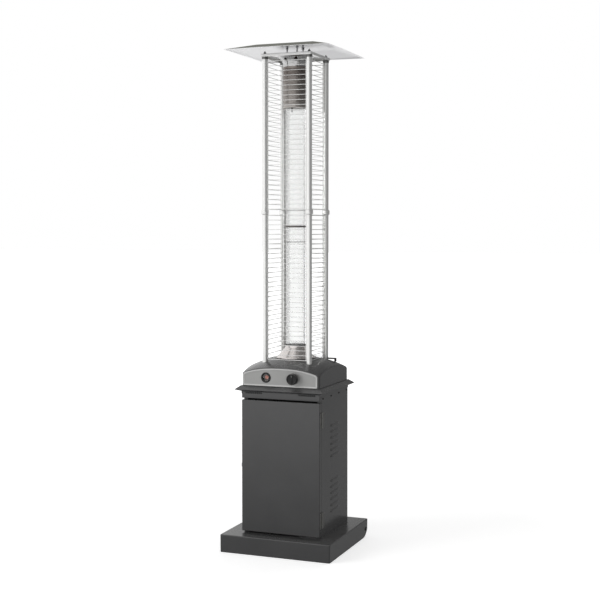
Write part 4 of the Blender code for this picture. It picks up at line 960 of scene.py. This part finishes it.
def heated_metal(name, colour, tint, low, high, amount, roughness, stretch=(900.0, 900.0, 14.0)):
    """Bare steel, browned by heat from one height to another."""
    finish = bare_metal(name, colour, roughness, stretch, 0.16)
    tree = finish.node_tree
    look = tree.nodes["Group"].outputs
    values = {"Colour": look["Colour"], "Tint": paint(*tint), "Low": low, "High": high, "Amount": amount}
    browned = add_node(tree, "Group", values, node_tree=tint_group).outputs
    rough = number_node(tree, "ADD", look["Roughness"], number_node(tree, "MULTIPLY", browned["Mask"], 0.12))
    feed(tree, tree.nodes["Principled BSDF"], {"Base Color": browned["Colour"], "Roughness": rough})
    return finish


cone_path = [(flange_radius, cone_low + 0.0002), (flange_radius, cone_low + 0.003),
             (cone_foot_radius, cone_low + 0.003), (cone_top_radius, cone_high - 0.0085),
             (cone_top_radius, cone_high), (cone_in, cone_high), (cone_in, cone_high - 0.0095),
             (cone_foot_radius - 0.003, cone_low)]
cone_steel = heated_metal("Browned cone steel", (0.95, 0.93, 0.92), (0.40, 0.33, 0.29), 0.855, 0.915,
                          0.14, 0.07, (60.0, 60.0, 900.0))
fit(add_piece("cone", [turned(eased(cone_path, 0.0022, 5), 120)], cone_steel), "burner_cone")


# Flame glass
# Two lengths of borosilicate tube stand on a heat-proof ring and meet in a steel clamp
# ring. Two thin wires mark where the glass is held for fitting.
glass_radius = 0.043
glass_wall = 0.003
glass_edge = 0.0008
ring_low, ring_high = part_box("glass_base_ring")
joint_low, joint_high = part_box("glass_joint_ring")
seal_inner = 0.0380
seal_in, seal_out = glass_radius + 0.0003, ring_high.x
joint_middle, joint_out = (joint_low.z + joint_high.z) / 2, joint_high.x
joint_half = (joint_high.z - joint_low.z) / 2
wire_bands = ((1.525, 0.0008), (1.3826, 0.0010))


def glass_tube(node):
    low, high = (corner.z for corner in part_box(node))
    middle, half = (low + high) / 2, (high - low) / 2
    inner, outer = glass_radius - glass_wall, glass_radius
    path = both_ways([(inner, half - glass_edge), (inner + glass_edge, half), (outer - glass_edge, half),
                      (outer, half - glass_edge)])
    return turned(path, 96, (0, 0, middle))


tube_glass = clear_glass("Flame tube glass", (0.962, 0.966, 0.962, 1), 0.24, 0.035)
seal_rubber = moulded("Heat-proof seal", (0.12, 0.115, 0.11), 0.7, 700.0, 0.1)
clamp_steel = heated_metal("Clamp steel", (0.58, 0.56, 0.55), (0.30, 0.26, 0.24), 1.3, 1.6, 0.4, 0.42)
wire_steel = heated_metal("Dark wire steel", (0.24, 0.22, 0.21), (0.14, 0.11, 0.10), 1.3, 1.6, 0.4, 0.42)
seal_path = [(seal_inner, ring_low.z), (seal_out - 0.001, ring_low.z), (seal_out, ring_low.z + 0.001),
             (seal_out, ring_high.z - 0.0012), (seal_out - 0.0012, ring_high.z), (seal_in, ring_high.z),
             (seal_in, ring_low.z + 0.002), (seal_inner, ring_low.z + 0.002)]
joint_path = both_ways([(0.0402, 0.001), (seal_in, 0.001), (seal_in, joint_half),
                        (joint_out - 0.0008, joint_half), (joint_out, joint_half - 0.0008),
                        (joint_out, 0.0016), (joint_out - 0.0006, 0.0010)])
bands = [turned(arc((glass_radius + thick, height), thick, 0, 360, 8)[:-1], 96) for height, thick in wire_bands]
for name, shapes, finish, slot, node in (
        ("flame_glass_lower", [glass_tube("glass_tube_lower")], tube_glass, "tube_glass", "glass_tube_lower"),
        ("flame_glass_upper", [glass_tube("glass_tube_upper")], tube_glass, "tube_glass", "glass_tube_upper"),
        ("glass_seal", [turned(seal_path, 96)], seal_rubber, "seal_ring", "glass_base_ring"),
        ("glass_clamp", [turned(joint_path, 96, (0, 0, joint_middle))], clamp_steel, "heated_steel",
         "glass_joint_ring"),
        ("glass_wires", bands, wire_steel, "heated_steel", None)):
    fit(add_piece(name, shapes, finish), node)


# Emitter drum
# A drum of fine-holed steel sheet that glows when the heater burns, round a dark liner
# whose colour is painted shade inside the drum.
# Its foot takes the top of the glass and its lid carries the reflector's studs.
drum_low, drum_high = (corner.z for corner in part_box("emitter_drum"))
drum_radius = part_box("emitter_drum")[1].x
drum_sheet = 0.0012
end_radius = drum_radius - drum_sheet - 0.0001
mesh_columns = 84
mesh_rows = 38
mesh_low, mesh_high = drum_low + 0.006, drum_high - 0.008
hole_share = 0.60
foot_in = 0.040
foot_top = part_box("glass_tube_upper")[1].z + 0.0003
lid_in = 0.031
hem_radius = 0.0016
liner_in, liner_out = 0.0475, 0.0480
pin_radius = 0.0019
pin_length = 0.0215
pin_y = -0.0452


def pierced_skin(radius, low, high, columns, rows):
    """A drum's wall with a square hole in the middle of every cell."""
    def spot(column, row):
        turn = tau * column / columns
        return (radius * cos(turn), radius * sin(turn), low + (high - low) * row / rows)

    points = [spot(column, row) for row in range(rows + 1) for column in range(columns)]
    faces = []
    near, far = (1 - hole_share) / 2, (1 + hole_share) / 2
    hole = ((near, near), (far, near), (far, far), (near, far))
    for row in range(rows):
        for column in range(columns):
            first, after = row * columns + column, row * columns + (column + 1) % columns
            outer = [first, after, after + columns, first + columns]
            start = len(points)
            points += [spot(column + x, row + y) for x, y in hole]
            faces += [(outer[side], outer[(side + 1) % 4], start + (side + 1) % 4, start + side)
                      for side in range(4)]
    for rim, edge in ((drum_low, 0), (drum_high, rows * columns)):
        start = len(points)
        points += round_ring(radius, rim, columns)
        for column in range(columns):
            after = (column + 1) % columns
            faces.append((start + column, start + after, edge + after, edge + column))
    return points, faces


emitter_steel = heated_metal("Heated emitter steel", (0.82, 0.80, 0.78), (0.47, 0.42, 0.395), 1.97, 2.17,
                             0.7, 0.3)
# Near-black steel for the liners in the drum and the collar's throat: painted shade behind the holes.
shade_liner_steel = heated_metal("Painted shade liner", (0.30, 0.25, 0.22), (0.14, 0.11, 0.10), 1.99, 2.17, 0.8, 0.55)
emitter = add_piece("emitter_mesh", [pierced_skin(drum_radius, mesh_low, mesh_high, mesh_columns, mesh_rows)],
                    emitter_steel, 50)
emitter = thickened(emitter, drum_sheet, smooth_angle=50)
foot_path = [(seal_in, drum_low), (end_radius, drum_low), (end_radius, drum_low + drum_sheet),
             (seal_in + drum_sheet, drum_low + drum_sheet), (seal_in + drum_sheet, foot_top + drum_sheet),
             (foot_in, foot_top + drum_sheet), (foot_in, foot_top), (seal_in, foot_top)]
lid_path = hoop(lid_in, end_radius, drum_high - drum_sheet, drum_high)
hem_path = arc((drum_radius - 0.0004 + hem_radius, drum_low + hem_radius), hem_radius, 0, 360, 12)[:-1]
ends = add_piece("emitter_ends", [turned(path, 96) for path in (foot_path, lid_path, hem_path)], emitter_steel)
liner_shape = turned(hoop(liner_in, liner_out, drum_low + 0.016, drum_high - 0.003), 96)
liner = add_piece("emitter_liner", [liner_shape], shade_liner_steel)
pin_top = drum_low + 0.0005
pin_shape = rod_shape((0, pin_y, pin_top - pin_length), (0, pin_y, pin_top), pin_radius, 16)
for piece in (emitter, ends, liner, add_piece("glass_pin", [pin_shape], dark_zinc)):
    fit(piece, "emitter_drum")


# Emitter collar
# A trumpet of stainless sheet opens from the drum up to the top plate, with a round hole
# at every eighth of its way round. A dark liner stands in its throat behind the holes; its
# colour is painted shade seen through them.
collar_low, collar_high = (corner.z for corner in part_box("emitter_collar"))
collar_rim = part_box("emitter_collar")[1].x
collar_sheet = 0.0012
throat_in = drum_radius - 0.0065
trumpet_low, trumpet_high = drum_radius - 0.0012, 0.096
trumpet_base = collar_low + 0.0006
trumpet_rise = collar_high - collar_low - 0.0012
hole_count = 8
hole_radius = 0.008
hole_cut = (0.048, 0.108)
hole_z = collar_low + (collar_high - collar_low) * 0.62

collar_path = [(throat_in, trumpet_base)]
for turn in (pi / 2 * step / 16 for step in range(17)):
    collar_path.append((trumpet_low + (trumpet_high - trumpet_low) * (1 - cos(turn)),
                        trumpet_base + trumpet_rise * sin(turn)))
collar_path.append((collar_rim, collar_high - 0.0006))
polished_steel = bare_metal("Polished stainless", (0.80, 0.80, 0.80), 0.13, (60.0, 60.0, 700.0), 0.10)
collar_skin = open_skin([round_ring(*spot, 112) for spot in collar_path])
collar = thickened(add_piece("collar", [collar_skin], polished_steel), collar_sheet, 0)
collar_holes = []
for turn in (tau * (number + 0.5) / hole_count for number in range(hole_count)):
    ends = [(reach * cos(turn), reach * sin(turn), hole_z) for reach in hole_cut]
    collar_holes.append(rod_shape(*ends, hole_radius, 32))
fit(cut_by(collar, collar_holes), "emitter_collar")
# The throat's liner wears the same painted shade as the drum's liner.
throat_path = hoop(throat_in + 0.0003, throat_in + 0.0010, collar_low + 0.0015, hole_z + 0.0115)
throat_path[2:3] = [(throat_in + 0.0010, hole_z + 0.0108), (throat_in + 0.0016, hole_z + 0.0115),
                    (throat_in + 0.0010, hole_z + 0.0122)]
fit(add_piece("collar_liner", [turned(throat_path, 96)], shade_liner_steel))


# Top plate
# A square stainless plate with folded edges joins the four posts and frames the collar's
# mouth.
plate_low, plate_high = (corner.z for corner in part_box("top_plate"))
plate_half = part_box("top_plate")[1].x
plate_sheet = 0.0015
plate_bend = 0.003
plate_corner = 0.006
mouth_radius = 0.0948


def plate_ring(inset, z, share=1.0):
    spots = drawn_in(plate_half - inset, max(plate_corner - inset, 0.0015), 20, mouth_radius, share)
    return [(spot.x, spot.y, z) for spot in spots]


plate_rows = [plate_ring(plate_bend, plate_high, share) for share in (0, 0.35, 0.7, 1)]
plate_rows += [plate_ring(inset, plate_high - drop) for drop, inset in bent(plate_bend, 5)[1:]]
plate_rows.append(plate_ring(0, plate_low))
brushed_steel = bare_metal("Brushed stainless", (0.97, 0.97, 0.965), 0.26, contrast=0.08, metallic=0.65)
plate = thickened(add_piece("post_plate", [open_skin(plate_rows)], brushed_steel), plate_sheet)
fit(plate, "top_plate")


# Posts
# Four stainless tubes in two lengths each. A barrel collar on the lower length takes the
# upper one, whose stud comes through the top plate under a nut; a bush rings each head
# where it meets the plate, and its darker steel is painted shade under the plate's edge.
joint_z = 1.517
barrel_half = (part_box("guard_upper_front")[0].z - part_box("guard_lower_front")[1].z) / 2 - 0.0003
barrel_radius = 0.0172
post_in = post_radius - 0.0015
post_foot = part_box("post_lower_front_left")[0].z
post_top = plate_high - plate_sheet - 0.0003
stud_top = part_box("post_upper_front_left")[1].z
stud_radius = 0.003
stud_hole = 0.0032
post_nut_radius = 0.0065
post_nut_height = 0.006
socket = post_radius + 0.0003
bush_out = post_radius + 0.0014


def hex_nut(radius, low, high):
    """A nut with chamfered corners; its radius is measured to the corners."""
    rows = []
    for height, limit in ((low, 0.918), (low + 0.0007, 1), (high - 0.0007, 1), (high, 0.918)):
        ring = []
        for step in range(24):
            turn = tau * step / 24
            size = radius * min(cos(pi / 6) / cos(turn % (pi / 3) - pi / 6), limit)
            ring.append((size * cos(turn), size * sin(turn), height))
        rows.append(ring)
    return lofted(rows)


def threaded(radius, low, high, pitch=0.00125, depth=0.0004):
    """A rod with thread ridges and a chamfered end."""
    count = int((high - low) / pitch) - 1
    path = [(radius - depth, low)]
    for start in (low + pitch * turn for turn in range(count)):
        path += [(radius - depth, start + pitch * 0.25), (radius, start + pitch * 0.75)]
    path += [(radius - depth, low + pitch * (count + 0.25)), (radius - depth * 2, high)]
    return turned(path, 20, closed=False)


post_steel = bare_metal("Drawn stainless tube", (0.96, 0.96, 0.955), 0.17, (700.0, 700.0, 6.0), 0.08, 0.72)
# The bush's darker steel is painted shade under the top plate's edge.
shade_bush_steel = bare_metal("Bush steel painted shade", (0.52, 0.52, 0.515), 0.26, (400.0, 400.0, 400.0), 0.15)
bush_path = [(socket, plate_low - 0.011), (bush_out, plate_low - 0.0104), (bush_out, plate_low + 0.0014),
             (socket, plate_low + 0.002)]
barrel_low, barrel_high = joint_z - barrel_half, joint_z + barrel_half
lower_path = [(post_in, post_foot), (post_radius, post_foot), (post_radius, barrel_low),
              (post_radius + 0.0008, barrel_low), (barrel_radius, barrel_low + 0.003),
              (barrel_radius, barrel_high - 0.003), (post_radius + 0.0008, barrel_high),
              (socket, barrel_high), (socket, joint_z), (post_in, joint_z)]
upper_path = [(post_in, joint_z + 0.0003), (post_radius, joint_z + 0.0003), (post_radius, post_top - 0.001),
              (post_radius - 0.001, post_top), (stud_hole, post_top), (stud_hole, post_top - 0.002),
              (post_in, post_top - 0.002)]
for x, y in post_corners:
    corner = ("front_" if y < 0 else "rear_") + ("left" if x < 0 else "right")
    bolt = [threaded(stud_radius, post_top - 0.001, stud_top),
            hex_nut(post_nut_radius, plate_high + 0.0003, plate_high + 0.0003 + post_nut_height)]
    for name, shapes, finish, node in (
            ("post_foot_", [turned(eased(lower_path, 0.0012, 4), 48)], post_steel, "post_lower_"),
            ("post_head_", [turned(upper_path, 48)], post_steel, "post_upper_"),
            ("post_bolt_", bolt, dark_zinc, "post_upper_"),
            ("post_bush_", [turned(bush_path, 40)], shade_bush_steel, "post_upper_")):
        shapes = [moved(shape, (x, y, 0)) for shape in shapes]
        fit(add_piece(name + corner, shapes, finish), node + corner)


# Wire guards
# Level stainless wires are welded between two upright rods and two end rods. Four guards
# stand between the posts at each level; the lower ones, except in front, wear a darker copy
# of the wire finish, a painted darker reflection.
wire_radius = 0.0013
rod_radius = 0.0016
wire_count = 31
rod_place = post_place - post_radius - 0.0003 - rod_radius
wire_grain = (300.0, 300.0, 300.0)
guard_steel = bare_metal("Guard wire", (0.97, 0.97, 0.965), 0.22, wire_grain, 0.06, 0.7)
# A darker copy of the guard wire: painted darker reflection on the lower guards.
dark_reflection_guard_steel = bare_metal("Guard wire painted darker reflection", (0.85, 0.85, 0.84), 0.28, wire_grain, 0.08, 0.8)

for level in ("lower", "upper"):
    for side, angle in (("right", 0), ("rear", 90), ("left", 180), ("front", 270)):
        low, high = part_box("guard_%s_%s" % (level, side))
        bottom, top = low.z + rod_radius, high.z - rod_radius
        rods = [rod_shape((0, edge, low.z), (0, edge, high.z), rod_radius, 12)
                for edge in (-rod_place, rod_place)]
        for number in range(wire_count):
            z = bottom + (top - bottom) * number / (wire_count - 1)
            thick = rod_radius if number in (0, wire_count - 1) else wire_radius
            rods.append(rod_shape((0, -rod_place, z), (0, rod_place, z), thick))
        turn = radians(angle)
        place = (post_place * cos(turn), post_place * sin(turn), 0)
        finish = guard_steel if level == "upper" or side == "front" else dark_reflection_guard_steel
        rods = [moved(rod, place, spin=turn) for rod in rods]
        name = "%s_%s" % (level, side)
        fit(add_piece("wires_" + name, rods, finish, 50), "guard_" + name)


# Reflector
# A square aluminium sheet. Four flaps are bent down from its flat middle, their edges are
# hemmed and rise a little between the corners.
reflector_low, reflector_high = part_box("reflector")
edge_half = reflector_high.x
flat_half = 0.130
flat_z = reflector_high.z
edge_drop = reflector_high.z - reflector_low.z
edge_bow = 0.0015
reflector_sheet = 0.0012
crease = 0.05
side_cuts = 48


def reflector_ring(share, sink=0.0, grow=0.0):
    """A ring of the sheet: share 0 is the edge of its flat middle, 1 its outer edge."""
    half = flat_half + (edge_half - flat_half) * share + grow
    slope = share - crease / 2 if share > crease else share * share / crease / 2
    fall = (edge_drop - reflector_sheet * 1.2) * slope / (1 - crease / 2)
    corners = [(-1, -1), (1, -1), (1, 1), (-1, 1)]
    loop = []
    for (x0, y0), (x1, y1) in zip(corners, corners[1:] + corners[:1]):
        for along in (cut / side_cuts for cut in range(side_cuts)):
            swell = edge_bow * share * share * (1 - (2 * along - 1) ** 2)
            x, y = x0 + (x1 - x0) * along, y0 + (y1 - y0) * along
            loop.append((half * x, half * y, flat_z - fall + swell - sink))
    return loop


rolled = (220.0, 5.0, 220.0)
aluminium = bare_metal("Reflector aluminium", (0.98, 0.98, 0.985), 0.30, rolled, 0.04, 0.75)
top_rows = [reflector_ring(0, grow=-flat_half * (1 - share)) for share in (0.5, 0.75)]
top_rows += [reflector_ring(crease * step / 4) for step in range(5)]
top_rows += [reflector_ring(crease + (1 - crease) * step / 14) for step in range(1, 15)]
under_rows = [[(x, y, z - reflector_sheet) for x, y, z in row] for row in top_rows]
hem_rows = [reflector_ring(1, *values) for values in (
    (reflector_sheet * 1.2, -0.007), (reflector_sheet * 1.2, -0.0008), (reflector_sheet + 0.0002,),
    (reflector_sheet * 0.5 - 0.0002,), (0, -0.0005))]
reflector = add_piece("reflector_sheet", [lofted(under_rows[:-2] + hem_rows + top_rows[-2::-1])], aluminium, 24)
# The upward faces take a darker olive-grey copy of the aluminium: painted shade and reflection.
reflector.data.materials.append(bare_metal("Upper face painted shade", (0.49, 0.495, 0.455), 0.5, rolled, 0.15, 0.6))
for face in reflector.data.polygons:
    face.material_index = int(face.normal.z > 0.3)
fit(reflector, "reflector")


# Reflector studs
# Three threaded studs hold the reflector clear of the top plate, each with a nut under
# the drum's lid, a nut and a washer below the sheet and a nut above it.
nut_radius = 0.006
nut_height = 0.0045
washer_radius = 0.0078
washer_sheet = 0.0008
under = flat_z - reflector_sheet - 0.0003

for number in (1, 2, 3):
    node = "reflector_stud_%d" % number
    low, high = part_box(node)
    shapes = [threaded(stud_radius, low.z, high.z)]
    for bottom in (low.z, under - nut_height, flat_z + 0.0003):
        shapes.append(hex_nut(nut_radius, bottom, bottom + nut_height))
    washer = hoop(stud_radius, washer_radius, under - nut_height - washer_sheet, under - nut_height)
    shapes.append(turned(washer, 32))
    shapes = [moved(shape, ((low.x + high.x) / 2, (low.y + high.y) / 2, 0)) for shape in shapes]
    fit(add_piece("stud_%d" % number, shapes, zinc_plate), node)


# Door
# A shallow folded tray of the same coated sheet, hung on the right and held by a magnet
# on the left.
door = flat_looking(add_piece("door_leaf", [folded_tray("door")], graphite_coat))
fit(door, "door", "door")


# Hinges
# Two zinc-plated butt hinges. The frame leaf has two knuckles and the pin, the door leaf
# the middle knuckle, and each leaf is held by two screws.
hinge_radius = 0.0036
hinge_y = shell_front - 0.00015
pin_hole = 0.0019
hinge_pin = 0.0017
leaf_sheet = 0.0015
leaf_corner = 0.003
knuckle_gap = 0.0004
screw_inset = 0.015
hinge_screw_radius = 0.0036
hinge_steel = bare_metal("Hinge steel", (0.58, 0.58, 0.57), 0.36, fine_grain, 0.25, 0.8)


def leaf_shape(near, far, low, high, x):
    """A leaf against the cabinet's side, with rounded outer corners."""
    sign = 1 if far > near else -1
    outline = [(near, low)]
    for spot, start in ((low + leaf_corner, -90), (high - leaf_corner, 0)):
        outline += [(far + sign * (along - leaf_corner), spot + rise)
                    for along, rise in arc((0, 0), leaf_corner, start, start + 90, 5)]
    outline.append((near, high))
    return lofted([[(level, y, z) for y, z in outline] for level in (x, x + leaf_sheet)])


for level in ("lower", "upper"):
    frame_low, frame_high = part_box("hinge_%s_frame" % level)
    centre = (frame_high.x - hinge_radius, hinge_y, 0)
    low, high, leaf_x = frame_low.z, frame_high.z, frame_low.x
    third = (high - low) / 3
    for owner, body, sign, edge, knuckles in (
            ("frame", "stand", 1, frame_high.y, (0, 2)),
            ("door", "door", -1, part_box("hinge_%s_door" % level)[0].y, (1,))):
        near = hinge_y + sign * (hinge_radius + knuckle_gap)
        shapes = [leaf_shape(near, edge, low, high, leaf_x)]
        for knuckle in knuckles:
            start = low + knuckle * third + knuckle_gap / 2
            end = start + third - knuckle_gap
            barrel = hoop(pin_hole, hinge_radius, start, end)
            shapes.append(turned(eased(barrel, 0.0005, 3), 36, centre))
            back, front = sorted((hinge_y, near + sign * knuckle_gap))
            shapes.append(brick((leaf_x, back, start + knuckle_gap),
                                (leaf_x + leaf_sheet, front, end - knuckle_gap)))
        if owner == "frame":
            pin = eased([(0.0, low), (hinge_pin, low), (hinge_pin, high), (0.0, high)], 0.0004, 3)
            shapes.append(turned([(max(r, 0.0001), z) for r, z in pin], 24, centre, closed=False))
        for z in (low + screw_inset, high - screw_inset):
            spot = (leaf_x + leaf_sheet, (near + edge) / 2, z)
            shapes.append(screw_shape(spot, along_x, hinge_screw_radius, z * 11))
        leaf = add_piece("hinge_%s_%s_leaf" % (level, owner), shapes, hinge_steel)
        fit(leaf, "hinge_%s_%s" % (level, owner), body)


# Door pull, magnet catch and guard clip
# A small zinc-plated pull on the door's free edge, the moulded magnet catch behind it, and
# a coated strip that steadies the foot of the rear right post.
refinish("door_pull", zinc_plate, 0.0006)
refinish("magnet_catch", black_plastic, 0.0006)
clip_coat = moulded("Clip black coat", (0.10, 0.10, 0.10), 0.4, 400.0, 0.06)
clip_coat_depth = 0.0018
coat = refinish("guard_clip", clip_coat).modifiers.new("Thick coat", "DISPLACE")
coat.strength = clip_coat_depth
coat.mid_level = 0
